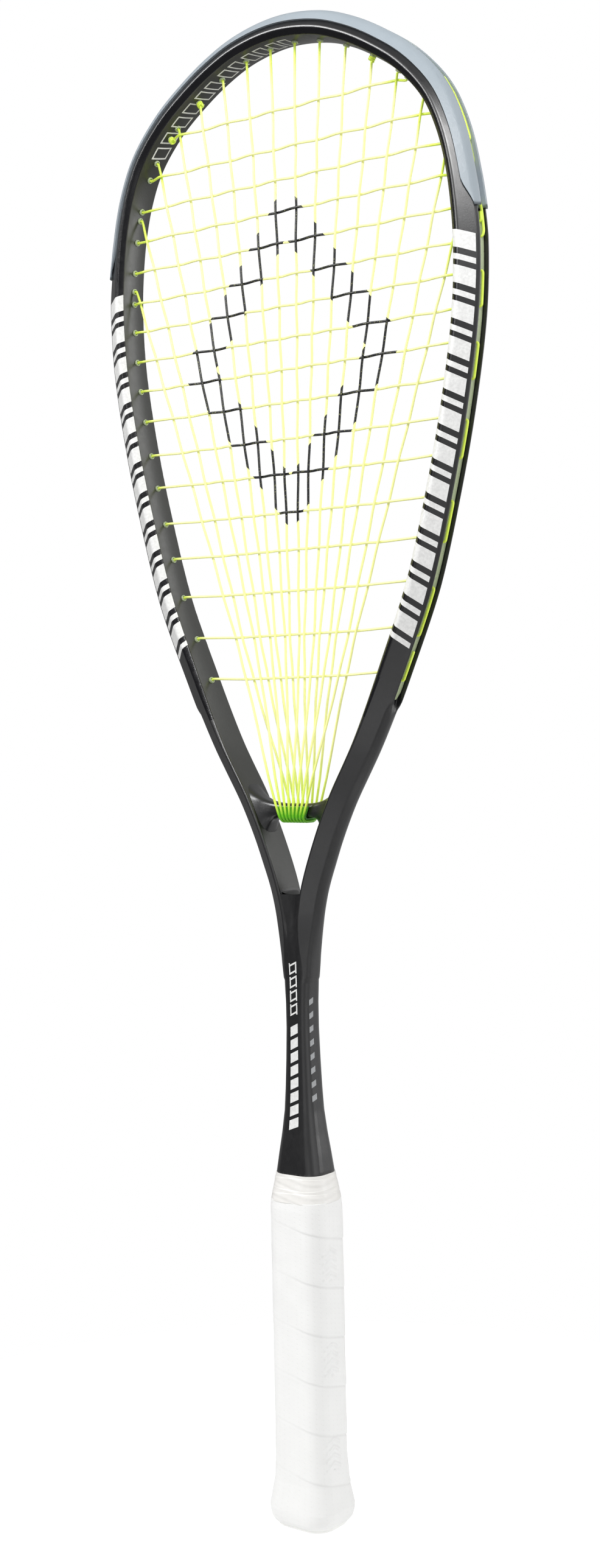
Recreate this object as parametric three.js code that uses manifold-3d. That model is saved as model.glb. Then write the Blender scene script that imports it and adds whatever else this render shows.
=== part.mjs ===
// Squash racket: one-piece carbon frame, throat bridge, bumper guard, grommet strips,
// strings, handle pallets, butt cap and wrapped grip.
// Units are millimetres. +Z runs up the handle to the head, X lies across the head,
// Y is square to the string bed. The origin is the middle of the butt's flat end.

import * as THREE from 'three';
import { mergeVertices } from 'three/addons/utils/BufferGeometryUtils.js';
import Module from 'manifold-3d';

const wasm = await Module();
wasm.setup();

// ---------------------------------------------------------------- driving dimensions

const GAP = 0.3;                     // clearance between neighbouring pieces

// Inner wall of the arm and the hoop on the right: [distance from the centre line, height].
const INNER_WALL = [
  [-1.0, 234], [-0.6, 248], [0.6, 261], [2.6, 273], [6.2, 290.4], [12.7, 309], [22.0, 330],
  [36.4, 355.8], [51.7, 390.2], [65.5, 424.3], [75.8, 460.4], [84.2, 496.5], [90.4, 534],
  [91.8, 560], [91.0, 578], [88.4, 597], [84.0, 613], [77.2, 627], [64.4, 641.2],
  [50.7, 651.2], [36.6, 659.2], [21.0, 665.2],
];
const CROWN = 668;                   // height of the inner wall at the top of the head

// The frame's section as the wall climbs: height, thickness, half depth,
// and how far the section has changed from an arm's (0) to the head's (1).
const FRAME_STAGES = [
  { z: 234, thick: 7.0, depth: 6.2, head: 0 },
  { z: 250, thick: 8.0, depth: 6.9, head: 0 },
  { z: 264, thick: 8.4, depth: 7.8, head: 0 },
  { z: 290, thick: 8.8, depth: 8.7, head: 0 },
  { z: 349, thick: 9.3, depth: 8.9, head: 0 },
  { z: 381, thick: 10.4, depth: 9.1, head: 0.5 },
  { z: 424, thick: 11.2, depth: 9.3, head: 1 },
  { z: 566, thick: 11.2, depth: 9.3, head: 1 },
  { z: 594, thick: 10.0, depth: 9.3, head: 1 },
  { z: 694, thick: 10.0, depth: 9.3, head: 1 },
];
const FRAME_STEPS = 80;
const GROOVE = { depth: 2.6, half: 3.0, end: 376, fade: 5 };

// Shaft, flared neck and the tube inside the handle: height, half width, half depth, corner.
const SHAFT = [
  [286.5, 7.6, 5.6, 2.6], [274, 8.0, 6.1, 3.2], [260, 7.8, 6.6, 4.0], [249, 7.0, 6.8, 4.5],
  [238, 6.5, 6.8, 4.6], [226, 6.4, 6.9, 4.6], [212, 6.9, 7.2, 5.0], [199, 7.5, 7.6, 5.4],
  [189, 8.2, 8.1, 6.0], [178.5, 9.6, 9.2, 7.0], [169.5, 11.1, 10.1, 7.6], [161.3, 12.3, 10.7, 7.6],
  [161.0, 7.4, 7.6, 5.4], [10, 7.4, 7.6, 5.4],
];

// Strings: 16 mains, 17 crosses.
const STRING_R = 0.6;
const CROSS_HEIGHTS = [
  638.9, 621.9, 607.9, 593.8, 579.6, 565, 551.5, 537.2, 523.1, 508.4,
  492, 476.4, 459, 442.1, 423.7, 404, 384.7,
];
const MAIN_ARCS = [148.8, 115.6, 87.8, 68.5, 52.4, 36.4, 21.2, 7.0];    // from the crown
const WEAVE = 1.6;                   // how far a cross stands off a main
const FAN_END = 392;                 // mains leave the string plane below this height
const LOOP_SINK = 0.8;               // loop centre below the frame's outer lip
const UPPER_LOOP = 1.25;             // main loops lie this far above the cross loops
const BRIDGE_PITCH = 2.5;            // spacing of the main pairs round the bridge
const HOLE_TURN = 0.7;               // room a string takes to bend where it leaves a hole
const LOOP_SHOULDER = 2.6;           // distance from a hole at which a loop has stepped aside
const TAIL = { main: 4, crossTop: 5, crossLow: 14 };   // string ends past their last hole
const STRING_SIDES = 5;

// Six-sided grommet barrels, measured to their corners.
const BARREL = { sides: 6, outer: 1.45, bore: 0.95, hole: 1.8, stand: 0.8 };
const OVERRUN = 2;                   // how far a cutting tool runs past the surface
const STRIP = { base: 0.6, half: 2.5 };
const SIDE_STRIP_ARCS = [144.6, 350];
const BUMPER = { end: 143, cutBack: 12, rim: 1.4, channel: 2.0 };

const BRIDGE = { top: 327.8, bottom: 321.6, endTop: 337.6, endBottom: 314.5, half: 3.6, flare: 7.2 };
const BRIDGE_SWEEP = { top: 3.4, bottom: 9, flare: 6 };   // higher: the swelling starts nearer the arm
const SADDLE = { half: 4.2, low: 320.9, high: 325.8, thick: 0.7, length: 19.4 };

// Handle layers: half width a, half depth b and corner radius r, or rows of
// [height, half width, half depth, corner radius].
const PALLET = { a: 12.3, b: 10.7, r: 7.6, low: 4.0, high: 160.7 };
const TUBE = { a: 7.4, b: 7.6, r: 5.4 };
const CAP_FLOOR = 3.7;
const CAP = [
  [0, 13.4, 11.6, 8.4], [1.5, 15.0, 13.2, 9.5], [7, 15.2, 13.4, 9.6],
  [12, 14.4, 12.6, 9.0], [20, 13.3, 11.7, 8.3],
];
const GRIP = [
  [1.8, 15.9, 14.1, 10.0], [4.5, 17.1, 15.4, 10.8], [9, 17.6, 15.9, 11.0],
  [14, 16.8, 15.0, 10.4], [21, 15.6, 13.7, 9.5], [32, 15.0, 13.2, 9.2],
  [142, 15.0, 13.2, 9.2], [149, 14.4, 12.6, 8.9],
];
const TAPE = [[149.3, 14.1, 12.4, 8.8], [155, 13.6, 12.0, 8.5], [160.7, 13.2, 11.6, 8.3]];
const STAPLE = { height: 11.3, wire: 0.8, halfSpan: 3.5, crown: 12.4, leg: 3.9, recess: 12.9 };

const LOOKS = {
  carbon: { color: 0x222326, roughness: 0.35, metalness: 0.0 },
  guard: { color: 0xb9c4cc, roughness: 0.4, metalness: 0.0 },
  strip: { color: 0x8f9498, roughness: 0.45, metalness: 0.0 },
  string: { color: 0xe2f25a, roughness: 0.35, metalness: 0.0 },
  saddle: { color: 0x5fb81e, roughness: 0.3, metalness: 0.0 },
  foam: { color: 0xc9c3b2, roughness: 0.8, metalness: 0.0 },
  cap: { color: 0xe9e9e6, roughness: 0.55, metalness: 0.0 },
  grip: { color: 0xf1f1ef, roughness: 0.7, metalness: 0.0 },
  tape: { color: 0xece9e2, roughness: 0.5, metalness: 0.0 },
  steel: { color: 0xb4b6b8, roughness: 0.3, metalness: 1.0 },
};

// ---------------------------------------------------------------- shape helpers

// Skins a run of matching flat sections, given anticlockwise, and closes both ends.
function sweep(sections, place) {
  const count = sections[0].length;
  const positions = sections.flatMap((section, i) => {
    return section.flatMap(([u, v]) => place(i, u, v).toArray());
  });
  const index = [];
  for (let i = 0; i < sections.length - 1; i++) {
    for (let j = 0; j < count; j++) {
      const a = i * count + j;
      const b = i * count + ((j + 1) % count);
      index.push(a, b, b + count, a, b + count, a + count);
    }
  }
  const addLid = (ring, flip) => {
    const outline = sections[ring].map(([u, v]) => new THREE.Vector2(u, v));
    THREE.ShapeUtils.triangulateShape(outline, []).forEach((face) => {
      const corners = face.map((n) => n + ring * count);
      index.push(...(flip ? corners.reverse() : corners));
    });
  };
  addLid(0, true);
  addLid(sections.length - 1, false);
  const geometry = new THREE.BufferGeometry();
  geometry.setAttribute('position', new THREE.Float32BufferAttribute(positions, 3));
  geometry.setIndex(index);
  return faceOut(geometry);
}

// Turns the faces round when the closed skin is inside out.
function faceOut(geometry) {
  const p = geometry.getAttribute('position');
  const index = geometry.index.array;
  const [a, b, c] = [new THREE.Vector3(), new THREE.Vector3(), new THREE.Vector3()];
  let volume = 0;
  for (let i = 0; i < index.length; i += 3) {
    a.fromBufferAttribute(p, index[i]);
    b.fromBufferAttribute(p, index[i + 1]);
    c.fromBufferAttribute(p, index[i + 2]);
    volume += a.dot(b.cross(c));
  }
  if (volume < 0) geometry.setIndex(Array.from(index).reverse());
  return geometry;
}

// A rounded rectangle from its half width, half depth and corner radius, anticlockwise.
function roundedRect(a, b, r, cornerSteps = 3) {
  const points = [];
  [[1, 1], [-1, 1], [-1, -1], [1, -1]].forEach(([sx, sy], quarter) => {
    for (let i = 0; i <= cornerSteps; i++) {
      const angle = (quarter + i / cornerSteps) * (Math.PI / 2);
      points.push([sx * (a - r) + r * Math.cos(angle), sy * (b - r) + r * Math.sin(angle)]);
    }
  });
  return points;
}

// An upright solid from rows of [height, half width, half depth, corner radius].
function column(rows, grow = 0, cornerSteps = 3) {
  const sections = rows.map(([, a, b, r]) => roundedRect(a + grow, b + grow, r + grow, cornerSteps));
  return sweep(sections, (i, u, v) => new THREE.Vector3(u, v, rows[i][0]));
}

const straight = ({ a, b, r }, low, high) => [[low, a, b, r], [high, a, b, r]];

// A path straight from corner to corner, with one section of the tube at each corner.
class CornerPath extends THREE.Curve {
  constructor(corners) {
    super();
    this.corners = corners;
  }

  getPointAt(u) {
    const last = this.corners.length - 1;
    const i = Math.min(Math.floor(u * last + 1e-9), last - 1);
    return this.corners[i].clone().lerp(this.corners[i + 1], u * last - i);
  }

  getTangentAt(u) {
    const last = this.corners.length - 1;
    const i = Math.round(u * last);
    const here = this.corners[i];
    const before = here.clone().sub(this.corners[Math.max(i - 1, 0)]).normalize();
    const after = this.corners[Math.min(i + 1, last)].clone().sub(here).normalize();
    return before.add(after).normalize();
  }
}

function tube(corners, radius, sides) {
  const section = new THREE.Shape();
  for (let i = 0; i < sides; i++) {
    const angle = (i / sides) * 2 * Math.PI;
    const point = [radius * Math.cos(angle), radius * Math.sin(angle)];
    if (i === 0) section.moveTo(...point);
    else section.lineTo(...point);
  }
  section.closePath();
  const extrudePath = new CornerPath(corners);
  return new THREE.ExtrudeGeometry(section, { steps: corners.length - 1, extrudePath });
}

function toSolid(geometry) {
  const bare = new THREE.BufferGeometry();
  bare.setAttribute('position', geometry.getAttribute('position'));
  bare.setIndex(geometry.index);
  const merged = mergeVertices(bare, 1e-5);
  const vertProperties = new Float32Array(merged.getAttribute('position').array);
  const triVerts = new Uint32Array(merged.index.array);
  return new wasm.Manifold(new wasm.Mesh({ numProp: 3, vertProperties, triVerts }));
}

function toGeometry(solid) {
  const { vertProperties, triVerts } = solid.getMesh();
  const geometry = new THREE.BufferGeometry();
  geometry.setAttribute('position', new THREE.BufferAttribute(vertProperties, 3));
  geometry.setIndex(new THREE.BufferAttribute(triVerts, 1));
  return geometry;
}

const joinAll = (geometries) => geometries.map(toSolid).reduce((sum, part) => sum.add(part));

function cutAll(solid, geometries) {
  return geometries.map(toSolid).reduce((rest, tool) => rest.subtract(tool), solid);
}

// Value of a field between the stages that hold it, by height.
function stageAt(z, field) {
  const next = FRAME_STAGES.findIndex((stage) => stage.z >= z);
  const high = FRAME_STAGES[Math.max(next, 1)];
  const low = FRAME_STAGES[Math.max(next, 1) - 1];
  return THREE.MathUtils.mapLinear(z, low.z, high.z, low[field], high[field]);
}

// ---------------------------------------------------------------- the inner wall

const rightSide = INNER_WALL.map(([x, z]) => new THREE.Vector3(x, 0, z));
const leftSide = INNER_WALL.map(([x, z]) => new THREE.Vector3(-x, 0, z)).reverse();
const wallCurve = new THREE.CatmullRomCurve3(
  [...rightSide, new THREE.Vector3(0, 0, CROWN), ...leftSide], false, 'centripetal');
wallCurve.arcLengthDivisions = 2000;
const wallLength = wallCurve.getLength();

// The wall at a distance from the crown, positive on the right, with its outward direction.
function wallAt(arc) {
  const u = 0.5 - arc / wallLength;
  const point = wallCurve.getPointAt(u);
  const along = wallCurve.getTangentAt(u);
  return { point, out: new THREE.Vector3(along.z, 0, -along.x).normalize() };
}

// A point that lies off the wall by a thickness, and off the string plane by y.
function offWall(arc, thickness, y = 0) {
  const { point, out } = wallAt(arc);
  return point.addScaledVector(out, thickness).setY(y);
}

const thicknessAt = (arc) => stageAt(wallAt(arc).point.z, 'thick');

// Distance from the crown at which the wall is at a height, found by halving.
function arcAtHeight(z) {
  let [low, high] = [20, wallLength / 2];
  for (let i = 0; i < 40; i++) {
    const middle = (low + high) / 2;
    if (wallAt(middle).point.z > z) low = middle;
    else high = middle;
  }
  return low;
}

const crossArcs = CROSS_HEIGHTS.map(arcAtHeight);

// ---------------------------------------------------------------- frame

// Frame section in (thickness, depth): inner wall, ridge, bevel, outer lip, string groove.
function frameSection(z) {
  const thick = stageAt(z, 'thick');
  const depth = stageAt(z, 'depth');
  const head = stageAt(z, 'head');
  const open = THREE.MathUtils.smoothstep(z, GROOVE.end - GROOVE.fade, GROOVE.end);
  const mix = (arm, full) => THREE.MathUtils.lerp(arm, full, head);
  const widen = (shut, full) => THREE.MathUtils.lerp(shut, full, open);
  const half = [
    [0, depth * mix(0.9, 0.77)],
    [mix(0.9, 3.0), depth],
    [thick - mix(1.6, 0.8), mix(4.3, 4.4)],
    [thick - widen(0.6, 0), widen(2.8, 3.6)],
    [thick - widen(0.2, 0), widen(1.8, GROOVE.half)],
    [thick - widen(0, GROOVE.depth), widen(0.8, GROOVE.half - 0.1)],
  ];
  const mirrored = half.map(([t, y]) => [t, -y]).reverse();
  return [...half, ...mirrored].reverse();
}

function grommetHoles() {
  const arcs = [...crossArcs, ...MAIN_ARCS].flatMap((arc) => [arc, -arc]);
  return arcs.map((arc) => barrelShape(arc, BARREL.hole, -OVERRUN, thicknessAt(arc) + OVERRUN));
}

function barrelShape(arc, radius, from, to) {
  return tube([offWall(arc, from), offWall(arc, to)], radius, BARREL.sides);
}

function makeFrame() {
  const even = Array.from({ length: FRAME_STEPS + 1 }, (_, i) => wallLength * (0.5 - i / FRAME_STEPS));
  const grooveTips = [GROOVE.end, GROOVE.end - GROOVE.fade].map(arcAtHeight);
  const arcs = [...even, ...grooveTips, ...grooveTips.map((arc) => -arc)].sort((a, b) => b - a);
  const sections = arcs.map((arc) => frameSection(wallAt(arc).point.z));
  const hoop = sweep(sections, (i, t, y) => offWall(arcs[i], t, y));
  const shaft = column(SHAFT);
  return toGeometry(cutAll(joinAll([hoop, shaft]), grommetHoles()));
}

// ---------------------------------------------------------------- throat bridge and saddle

function makeBridge() {
  const endTop = offWall(arcAtHeight(BRIDGE.endTop), -2 * GAP);
  const endBottom = offWall(arcAtHeight(BRIDGE.endBottom), -2 * GAP);
  const stations = Array.from({ length: 17 }, (_, i) => i / 8 - 1);
  const outline = [
    [-0.55, 0], [0.55, 0], [1, 0.16], [1, 0.84],
    [0.55, 1], [-0.55, 1], [-1, 0.84], [-1, 0.16],
  ];
  const sections = stations.map(() => outline);
  return sweep(sections, (i, y, rise) => {
    const s = stations[i];
    const half = THREE.MathUtils.lerp(BRIDGE.half, BRIDGE.flare, Math.abs(s) ** BRIDGE_SWEEP.flare);
    const topZ = THREE.MathUtils.lerp(BRIDGE.top, endTop.z, Math.abs(s) ** BRIDGE_SWEEP.top);
    const lowZ = THREE.MathUtils.lerp(BRIDGE.bottom, endBottom.z, Math.abs(s) ** BRIDGE_SWEEP.bottom);
    const top = new THREE.Vector3(endTop.x * s, 0, topZ);
    const low = new THREE.Vector3(endBottom.x * s, 0, lowZ);
    return low.lerp(top, rise).setY(y * half);
  });
}

function makeSaddle() {
  const { half, low, high, thick, length } = SADDLE;
  const trough = [
    [-half - thick, low + 0.6], [-half + 0.6, low - thick], [half - 0.6, low - thick],
    [half + thick, low + 0.6], [half + thick, high], [half, high], [half, low + 0.9],
    [half - 0.9, low], [-half + 0.9, low], [-half, low + 0.9], [-half, high], [-half - thick, high],
  ];
  const ends = [-length / 2, length / 2];
  return sweep(ends.map(() => trough), (i, y, z) => new THREE.Vector3(ends[i], y, z));
}

// ---------------------------------------------------------------- grommet strips and guard

function withBarrels(body, arcs) {
  const barrels = arcs.map((arc) => {
    return barrelShape(arc, BARREL.outer, -BARREL.stand, thicknessAt(arc) - GROOVE.depth + GAP + 0.2);
  });
  const bores = arcs.map((arc) => barrelShape(arc, BARREL.bore, -OVERRUN, thicknessAt(arc) + OVERRUN));
  return toGeometry(cutAll(joinAll([body, ...barrels]), bores));
}

function makeSideStrip(side) {
  const [from, to] = SIDE_STRIP_ARCS;
  const steps = 24;
  const arcs = Array.from({ length: steps + 1 }, (_, i) => {
    return side * THREE.MathUtils.lerp(from, to, i / steps);
  });
  const sections = arcs.map((arc) => {
    const floor = thicknessAt(arc) - GROOVE.depth + GAP;
    const half = STRIP.half;
    return [[floor, -half], [floor + STRIP.base, -half], [floor + STRIP.base, half], [floor, half]];
  });
  const strip = sweep(sections, (i, t, y) => offWall(arcs[i], t, y));
  const holes = [MAIN_ARCS[0], ...crossArcs.slice(5)].map((arc) => side * arc);
  return withBarrels(strip, holes);
}

// Guard section: string channel, rims, and flanges that lie on the frame's two bevels.
function bumperSection(arc) {
  const thick = thicknessAt(arc);
  const floor = thick - GROOVE.depth + GAP;
  const reach = THREE.MathUtils.smoothstep(BUMPER.end - Math.abs(arc), -1, BUMPER.cutBack);
  const mix = (cut, full) => THREE.MathUtils.lerp(cut, full, reach);
  const half = [
    [floor + STRIP.base, BUMPER.channel],
    [thick + BUMPER.rim, BUMPER.channel],
    [thick + BUMPER.rim, BUMPER.channel + 0.9],
    [thick - 0.1, 5.3],
    [thick - mix(0.55, 3.5), mix(5.5, 8.0)],
    [thick - mix(0.85, 4.0), mix(5.05, 7.35)],
    [thick - 0.75, 4.75],
    [thick + GAP, 3.85],
    [thick + GAP, GROOVE.half - GAP],
    [floor, GROOVE.half - GAP - 0.1],
  ];
  const mirrored = half.map(([t, y]) => [t, -y]).reverse();
  return [...half, ...mirrored];
}

function makeBumper() {
  const steps = 34;
  const arcs = Array.from({ length: steps + 1 }, (_, i) => BUMPER.end * (1 - (2 * i) / steps));
  const guard = sweep(arcs.map(bumperSection), (i, t, y) => offWall(arcs[i], t, y));
  const holes = [...MAIN_ARCS.slice(1), ...crossArcs.slice(0, 5)].flatMap((arc) => [arc, -arc]);
  return withBarrels(guard, holes);
}

// ---------------------------------------------------------------- strings

const INSIDE = -(BARREL.stand + STRING_R + 0.15);      // where a string meets its barrel
const crossLevel = (arc) => thicknessAt(arc) - LOOP_SINK;
const mainLevel = (arc) => crossLevel(arc) + UPPER_LOOP;

// Main number 1 to 16 from the left: distance of its hole from the crown.
function mainArc(number) {
  return number <= 8 ? -MAIN_ARCS[number - 1] : MAIN_ARCS[16 - number];
}

const pairX = (number) => (Math.ceil(number / 2) - 4.5) * BRIDGE_PITCH;
const mainEnd = (number) => offWall(mainArc(number), INSIDE);

const wrapOff = SADDLE.half + SADDLE.thick + GAP + STRING_R;

// A point of a main at a height: odd mains run down to the bridge's front, even ones to its back.
function onMain(number, z) {
  const top = mainEnd(number);
  const x = THREE.MathUtils.mapLinear(z, BRIDGE.top, top.z, pairX(number), top.x);
  const fan = Math.max(0, (FAN_END - z) / (FAN_END - BRIDGE.top));
  return new THREE.Vector3(x, (number % 2 ? -1 : 1) * fan * wrapOff, z);
}

// Out of a hole, along the outside of the frame, and in at the next hole.
function outsideLoop(from, to, level, sideStep = 0) {
  const span = to - from;
  const turn = Math.sign(span);
  const count = Math.max(2, Math.ceil(Math.abs(span) / 8));
  const points = [offWall(from, level(from) - HOLE_TURN)];
  points.push(offWall(from + turn * HOLE_TURN, level(from), sideStep * 0.3));
  for (let i = 0; i <= count; i++) {
    const arc = THREE.MathUtils.lerp(from + turn * LOOP_SHOULDER, to - turn * LOOP_SHOULDER, i / count);
    points.push(offWall(arc, level(arc), sideStep));
  }
  points.push(offWall(to - turn * HOLE_TURN, level(to), sideStep * 0.3));
  points.push(offWall(to, level(to) - HOLE_TURN));
  return points;
}

// Down the front of the bridge, under it and up the back.
function bridgeWrap(number) {
  const x = pairX(number);
  const under = SADDLE.low - SADDLE.thick - GAP - STRING_R;
  const route = [[-wrapOff, BRIDGE.top], [-wrapOff, under + 1.8], [-wrapOff + 1.8, under]];
  const back = route.map(([y, z]) => [-y, z]).reverse();
  return [...route, ...back].map(([y, z]) => new THREE.Vector3(x, y, z));
}

function makeMainString() {
  const first = mainArc(1);
  const points = [offWall(first + TAIL.main, crossLevel(first))];
  points.push(offWall(first + HOLE_TURN, crossLevel(first)));
  points.push(offWall(first, crossLevel(first) - HOLE_TURN));
  for (let number = 1; number <= 15; number += 2) {
    points.push(mainEnd(number), onMain(number, FAN_END), ...bridgeWrap(number));
    points.push(onMain(number + 1, FAN_END), mainEnd(number + 1));
    if (number < 15) points.push(...outsideLoop(mainArc(number + 1), mainArc(number + 2), mainLevel));
  }
  points.push(offWall(mainArc(16), crossLevel(mainArc(16))));
  return tube(points, STRING_R, STRING_SIDES);
}

// One cross from the left wall to the right, over and under the mains that it meets.
function crossRun(row) {
  const z = CROSS_HEIGHTS[row];
  const points = [offWall(-crossArcs[row], INSIDE)];
  for (let number = 1; number <= 16; number++) {
    if (mainEnd(number).z < z) continue;
    const side = (number + row) % 2 === 0 ? -1 : 1;
    const crossing = onMain(number, z);
    points.push(crossing.setY(crossing.y + side * WEAVE));
  }
  points.push(offWall(crossArcs[row], INSIDE));
  return points;
}

// On the right, a loop steps aside where a main's hole lies between its two holes.
const passesMain = (row) => MAIN_ARCS.some(
  (arc) => arc > crossArcs[row] && arc < crossArcs[row + 1]);

function makeCrossString() {
  const first = -crossArcs[0];
  const points = [offWall(first - TAIL.crossTop, crossLevel(first))];
  points.push(offWall(first - HOLE_TURN, crossLevel(first)));
  points.push(offWall(first, crossLevel(first) - HOLE_TURN));
  CROSS_HEIGHTS.forEach((_, row) => {
    const rightward = row % 2 === 0;
    const run = crossRun(row);
    points.push(...(rightward ? run : run.reverse()));
    if (row === CROSS_HEIGHTS.length - 1) return;
    const side = rightward ? 1 : -1;
    const step = passesMain(row) ? UPPER_LOOP : 0;
    points.push(...outsideLoop(side * crossArcs[row], side * crossArcs[row + 1], crossLevel, step));
  });
  const last = crossArcs[CROSS_HEIGHTS.length - 1];
  points.push(offWall(last, crossLevel(last) - HOLE_TURN));
  points.push(offWall(last - HOLE_TURN, crossLevel(last)));
  points.push(offWall(last - TAIL.crossLow, crossLevel(last - TAIL.crossLow)));
  return tube(points, STRING_R, STRING_SIDES);
}

// ---------------------------------------------------------------- handle

const grown = ({ a, b, r }, by) => ({ a: a + by, b: b + by, r: r + by });

function stapleHoles() {
  return [-1, 1].flatMap((face) => stapleParts(face, STAPLE.wire + 2 * GAP, STAPLE.recess));
}

// A staple's crown and two legs, as bars; face is -1 on the front and 1 on the back.
function stapleParts(face, wire, outer) {
  const { height, halfSpan, crown, leg } = STAPLE;
  const extra = (wire - STAPLE.wire) / 2;
  const inner = crown - STAPLE.wire / 2 - extra;
  const bar = new THREE.BoxGeometry(2 * halfSpan + wire, outer - inner, wire);
  bar.translate(0, (face * (outer + inner)) / 2, height);
  const legs = [-halfSpan, halfSpan].map((x) => {
    const depth = leg + extra;
    const post = new THREE.BoxGeometry(wire, depth + 0.2, wire);
    return post.translate(x, face * (inner - depth / 2 + 0.1), height);
  });
  return [bar, ...legs];
}

function makePallet(face) {
  const body = toSolid(column(straight(PALLET, PALLET.low, PALLET.high), 0, 5));
  const bore = column(straight(grown(TUBE, GAP), PALLET.low - OVERRUN, PALLET.high + OVERRUN));
  const [width, depth, height] = [4 * PALLET.a, 2 * PALLET.b, 2 * PALLET.high];
  const otherHalf = new THREE.BoxGeometry(width, depth, height);
  otherHalf.translate(0, -face * ((depth - GAP) / 2), PALLET.low + PALLET.high / 2);
  return toGeometry(cutAll(body, [bore, otherHalf, ...stapleHoles()]));
}

function makeButtCap() {
  const pocket = column(straight(grown(PALLET, GAP), CAP_FLOOR, CAP.at(-1)[0] + OVERRUN), 0, 5);
  return toGeometry(cutAll(toSolid(column(CAP, 0, 5)), [pocket, ...stapleHoles()]));
}

function makeStaple(face) {
  return toGeometry(joinAll(stapleParts(face, STAPLE.wire, STAPLE.crown + STAPLE.wire / 2)));
}

function makeGrip() {
  const below = [-OVERRUN, ...CAP[1].slice(1)];
  const above = [CAP.at(-1)[0] + GAP, ...CAP.at(-1).slice(1)];
  const capPocket = column([below, ...CAP.slice(1), above], GAP, 5);
  const bore = column(straight(grown(PALLET, GAP), CAP_FLOOR, GRIP.at(-1)[0] + OVERRUN), 0, 5);
  return toGeometry(cutAll(toSolid(column(GRIP, 0, 5)), [capPocket, bore]));
}

function makeTape() {
  const [low, high] = [TAPE[0][0] - OVERRUN, TAPE.at(-1)[0] + OVERRUN];
  const bore = column(straight(grown(PALLET, GAP), low, high), 0, 5);
  return toGeometry(cutAll(toSolid(column(TAPE, 0, 5)), [bore]));
}

// ---------------------------------------------------------------- the racket

const racket = new THREE.Group();

function add(name, look, geometry) {
  const mesh = new THREE.Mesh(geometry, new THREE.MeshStandardMaterial(LOOKS[look]));
  mesh.name = name;
  racket.add(mesh);
}

add('frame', 'carbon', makeFrame());
add('throat_bridge', 'carbon', makeBridge());
add('bridge_saddle', 'saddle', makeSaddle());
add('bumper_guard', 'guard', makeBumper());
add('grommet_strip_right', 'strip', makeSideStrip(1));
add('grommet_strip_left', 'strip', makeSideStrip(-1));
add('main_string', 'string', makeMainString());
add('cross_string', 'string', makeCrossString());
add('handle_pallet_front', 'foam', makePallet(-1));
add('handle_pallet_back', 'foam', makePallet(1));
add('butt_cap', 'cap', makeButtCap());
add('butt_staple_front', 'steel', makeStaple(-1));
add('butt_staple_back', 'steel', makeStaple(1));
add('grip_wrap', 'grip', makeGrip());
add('finishing_tape', 'tape', makeTape());

export default racket;
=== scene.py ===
"""Squash racket: fine surfaces, materials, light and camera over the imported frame.

Shapes are worked out in millimetres in the frame's own axes (+Z up the handle, X across
the head, front at -Y) and become metres when a mesh is made.
"""
import math

import bmesh
import bpy
import numpy as np
from mathutils import Matrix, Vector


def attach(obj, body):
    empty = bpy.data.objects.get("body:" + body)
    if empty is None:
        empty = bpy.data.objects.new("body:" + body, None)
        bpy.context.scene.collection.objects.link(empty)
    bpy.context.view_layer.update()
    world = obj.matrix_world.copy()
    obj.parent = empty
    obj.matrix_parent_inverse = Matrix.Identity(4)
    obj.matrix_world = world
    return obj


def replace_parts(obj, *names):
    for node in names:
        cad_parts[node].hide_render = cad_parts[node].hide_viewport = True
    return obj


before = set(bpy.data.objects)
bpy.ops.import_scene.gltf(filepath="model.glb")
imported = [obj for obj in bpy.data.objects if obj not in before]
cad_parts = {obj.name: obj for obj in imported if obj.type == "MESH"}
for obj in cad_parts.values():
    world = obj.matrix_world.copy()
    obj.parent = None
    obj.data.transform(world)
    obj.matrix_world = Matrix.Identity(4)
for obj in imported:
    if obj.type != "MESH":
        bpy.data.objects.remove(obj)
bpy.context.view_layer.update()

scene = bpy.context.scene
MM = 0.001
TAU = 2 * math.pi

# ---- driving dimensions

# Inner wall of the arm and the hoop on the right: (distance from the centre line, height).
INNER_WALL = [
    (-1.0, 234), (-0.6, 248), (0.6, 261), (2.6, 273), (6.2, 290.4), (12.7, 309), (22.0, 330),
    (36.4, 355.8), (51.7, 390.2), (65.5, 424.3), (75.8, 460.4), (84.2, 496.5), (90.4, 534),
    (91.8, 560), (91.0, 578), (88.4, 597), (84.0, 613), (77.2, 627), (64.4, 641.2),
    (50.7, 651.2), (36.6, 659.2), (21.0, 665.2),
]
CROWN = 668
STAGE_Z = (234, 250, 264, 290, 349, 381, 424, 566, 594, 694)
THICK = (7.0, 8.0, 8.4, 8.8, 9.3, 10.4, 11.2, 11.2, 10.0, 10.0)
DEPTH = (6.2, 6.9, 7.8, 8.7, 8.9, 9.1, 9.3, 9.3, 9.3, 9.3)
HEAD = (0, 0, 0, 0, 0, 0.5, 1, 1, 1, 1)
GROOVE_DEPTH, GROOVE_HALF, GROOVE_END, GROOVE_FADE = 2.6, 3.0, 376, 5

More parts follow.
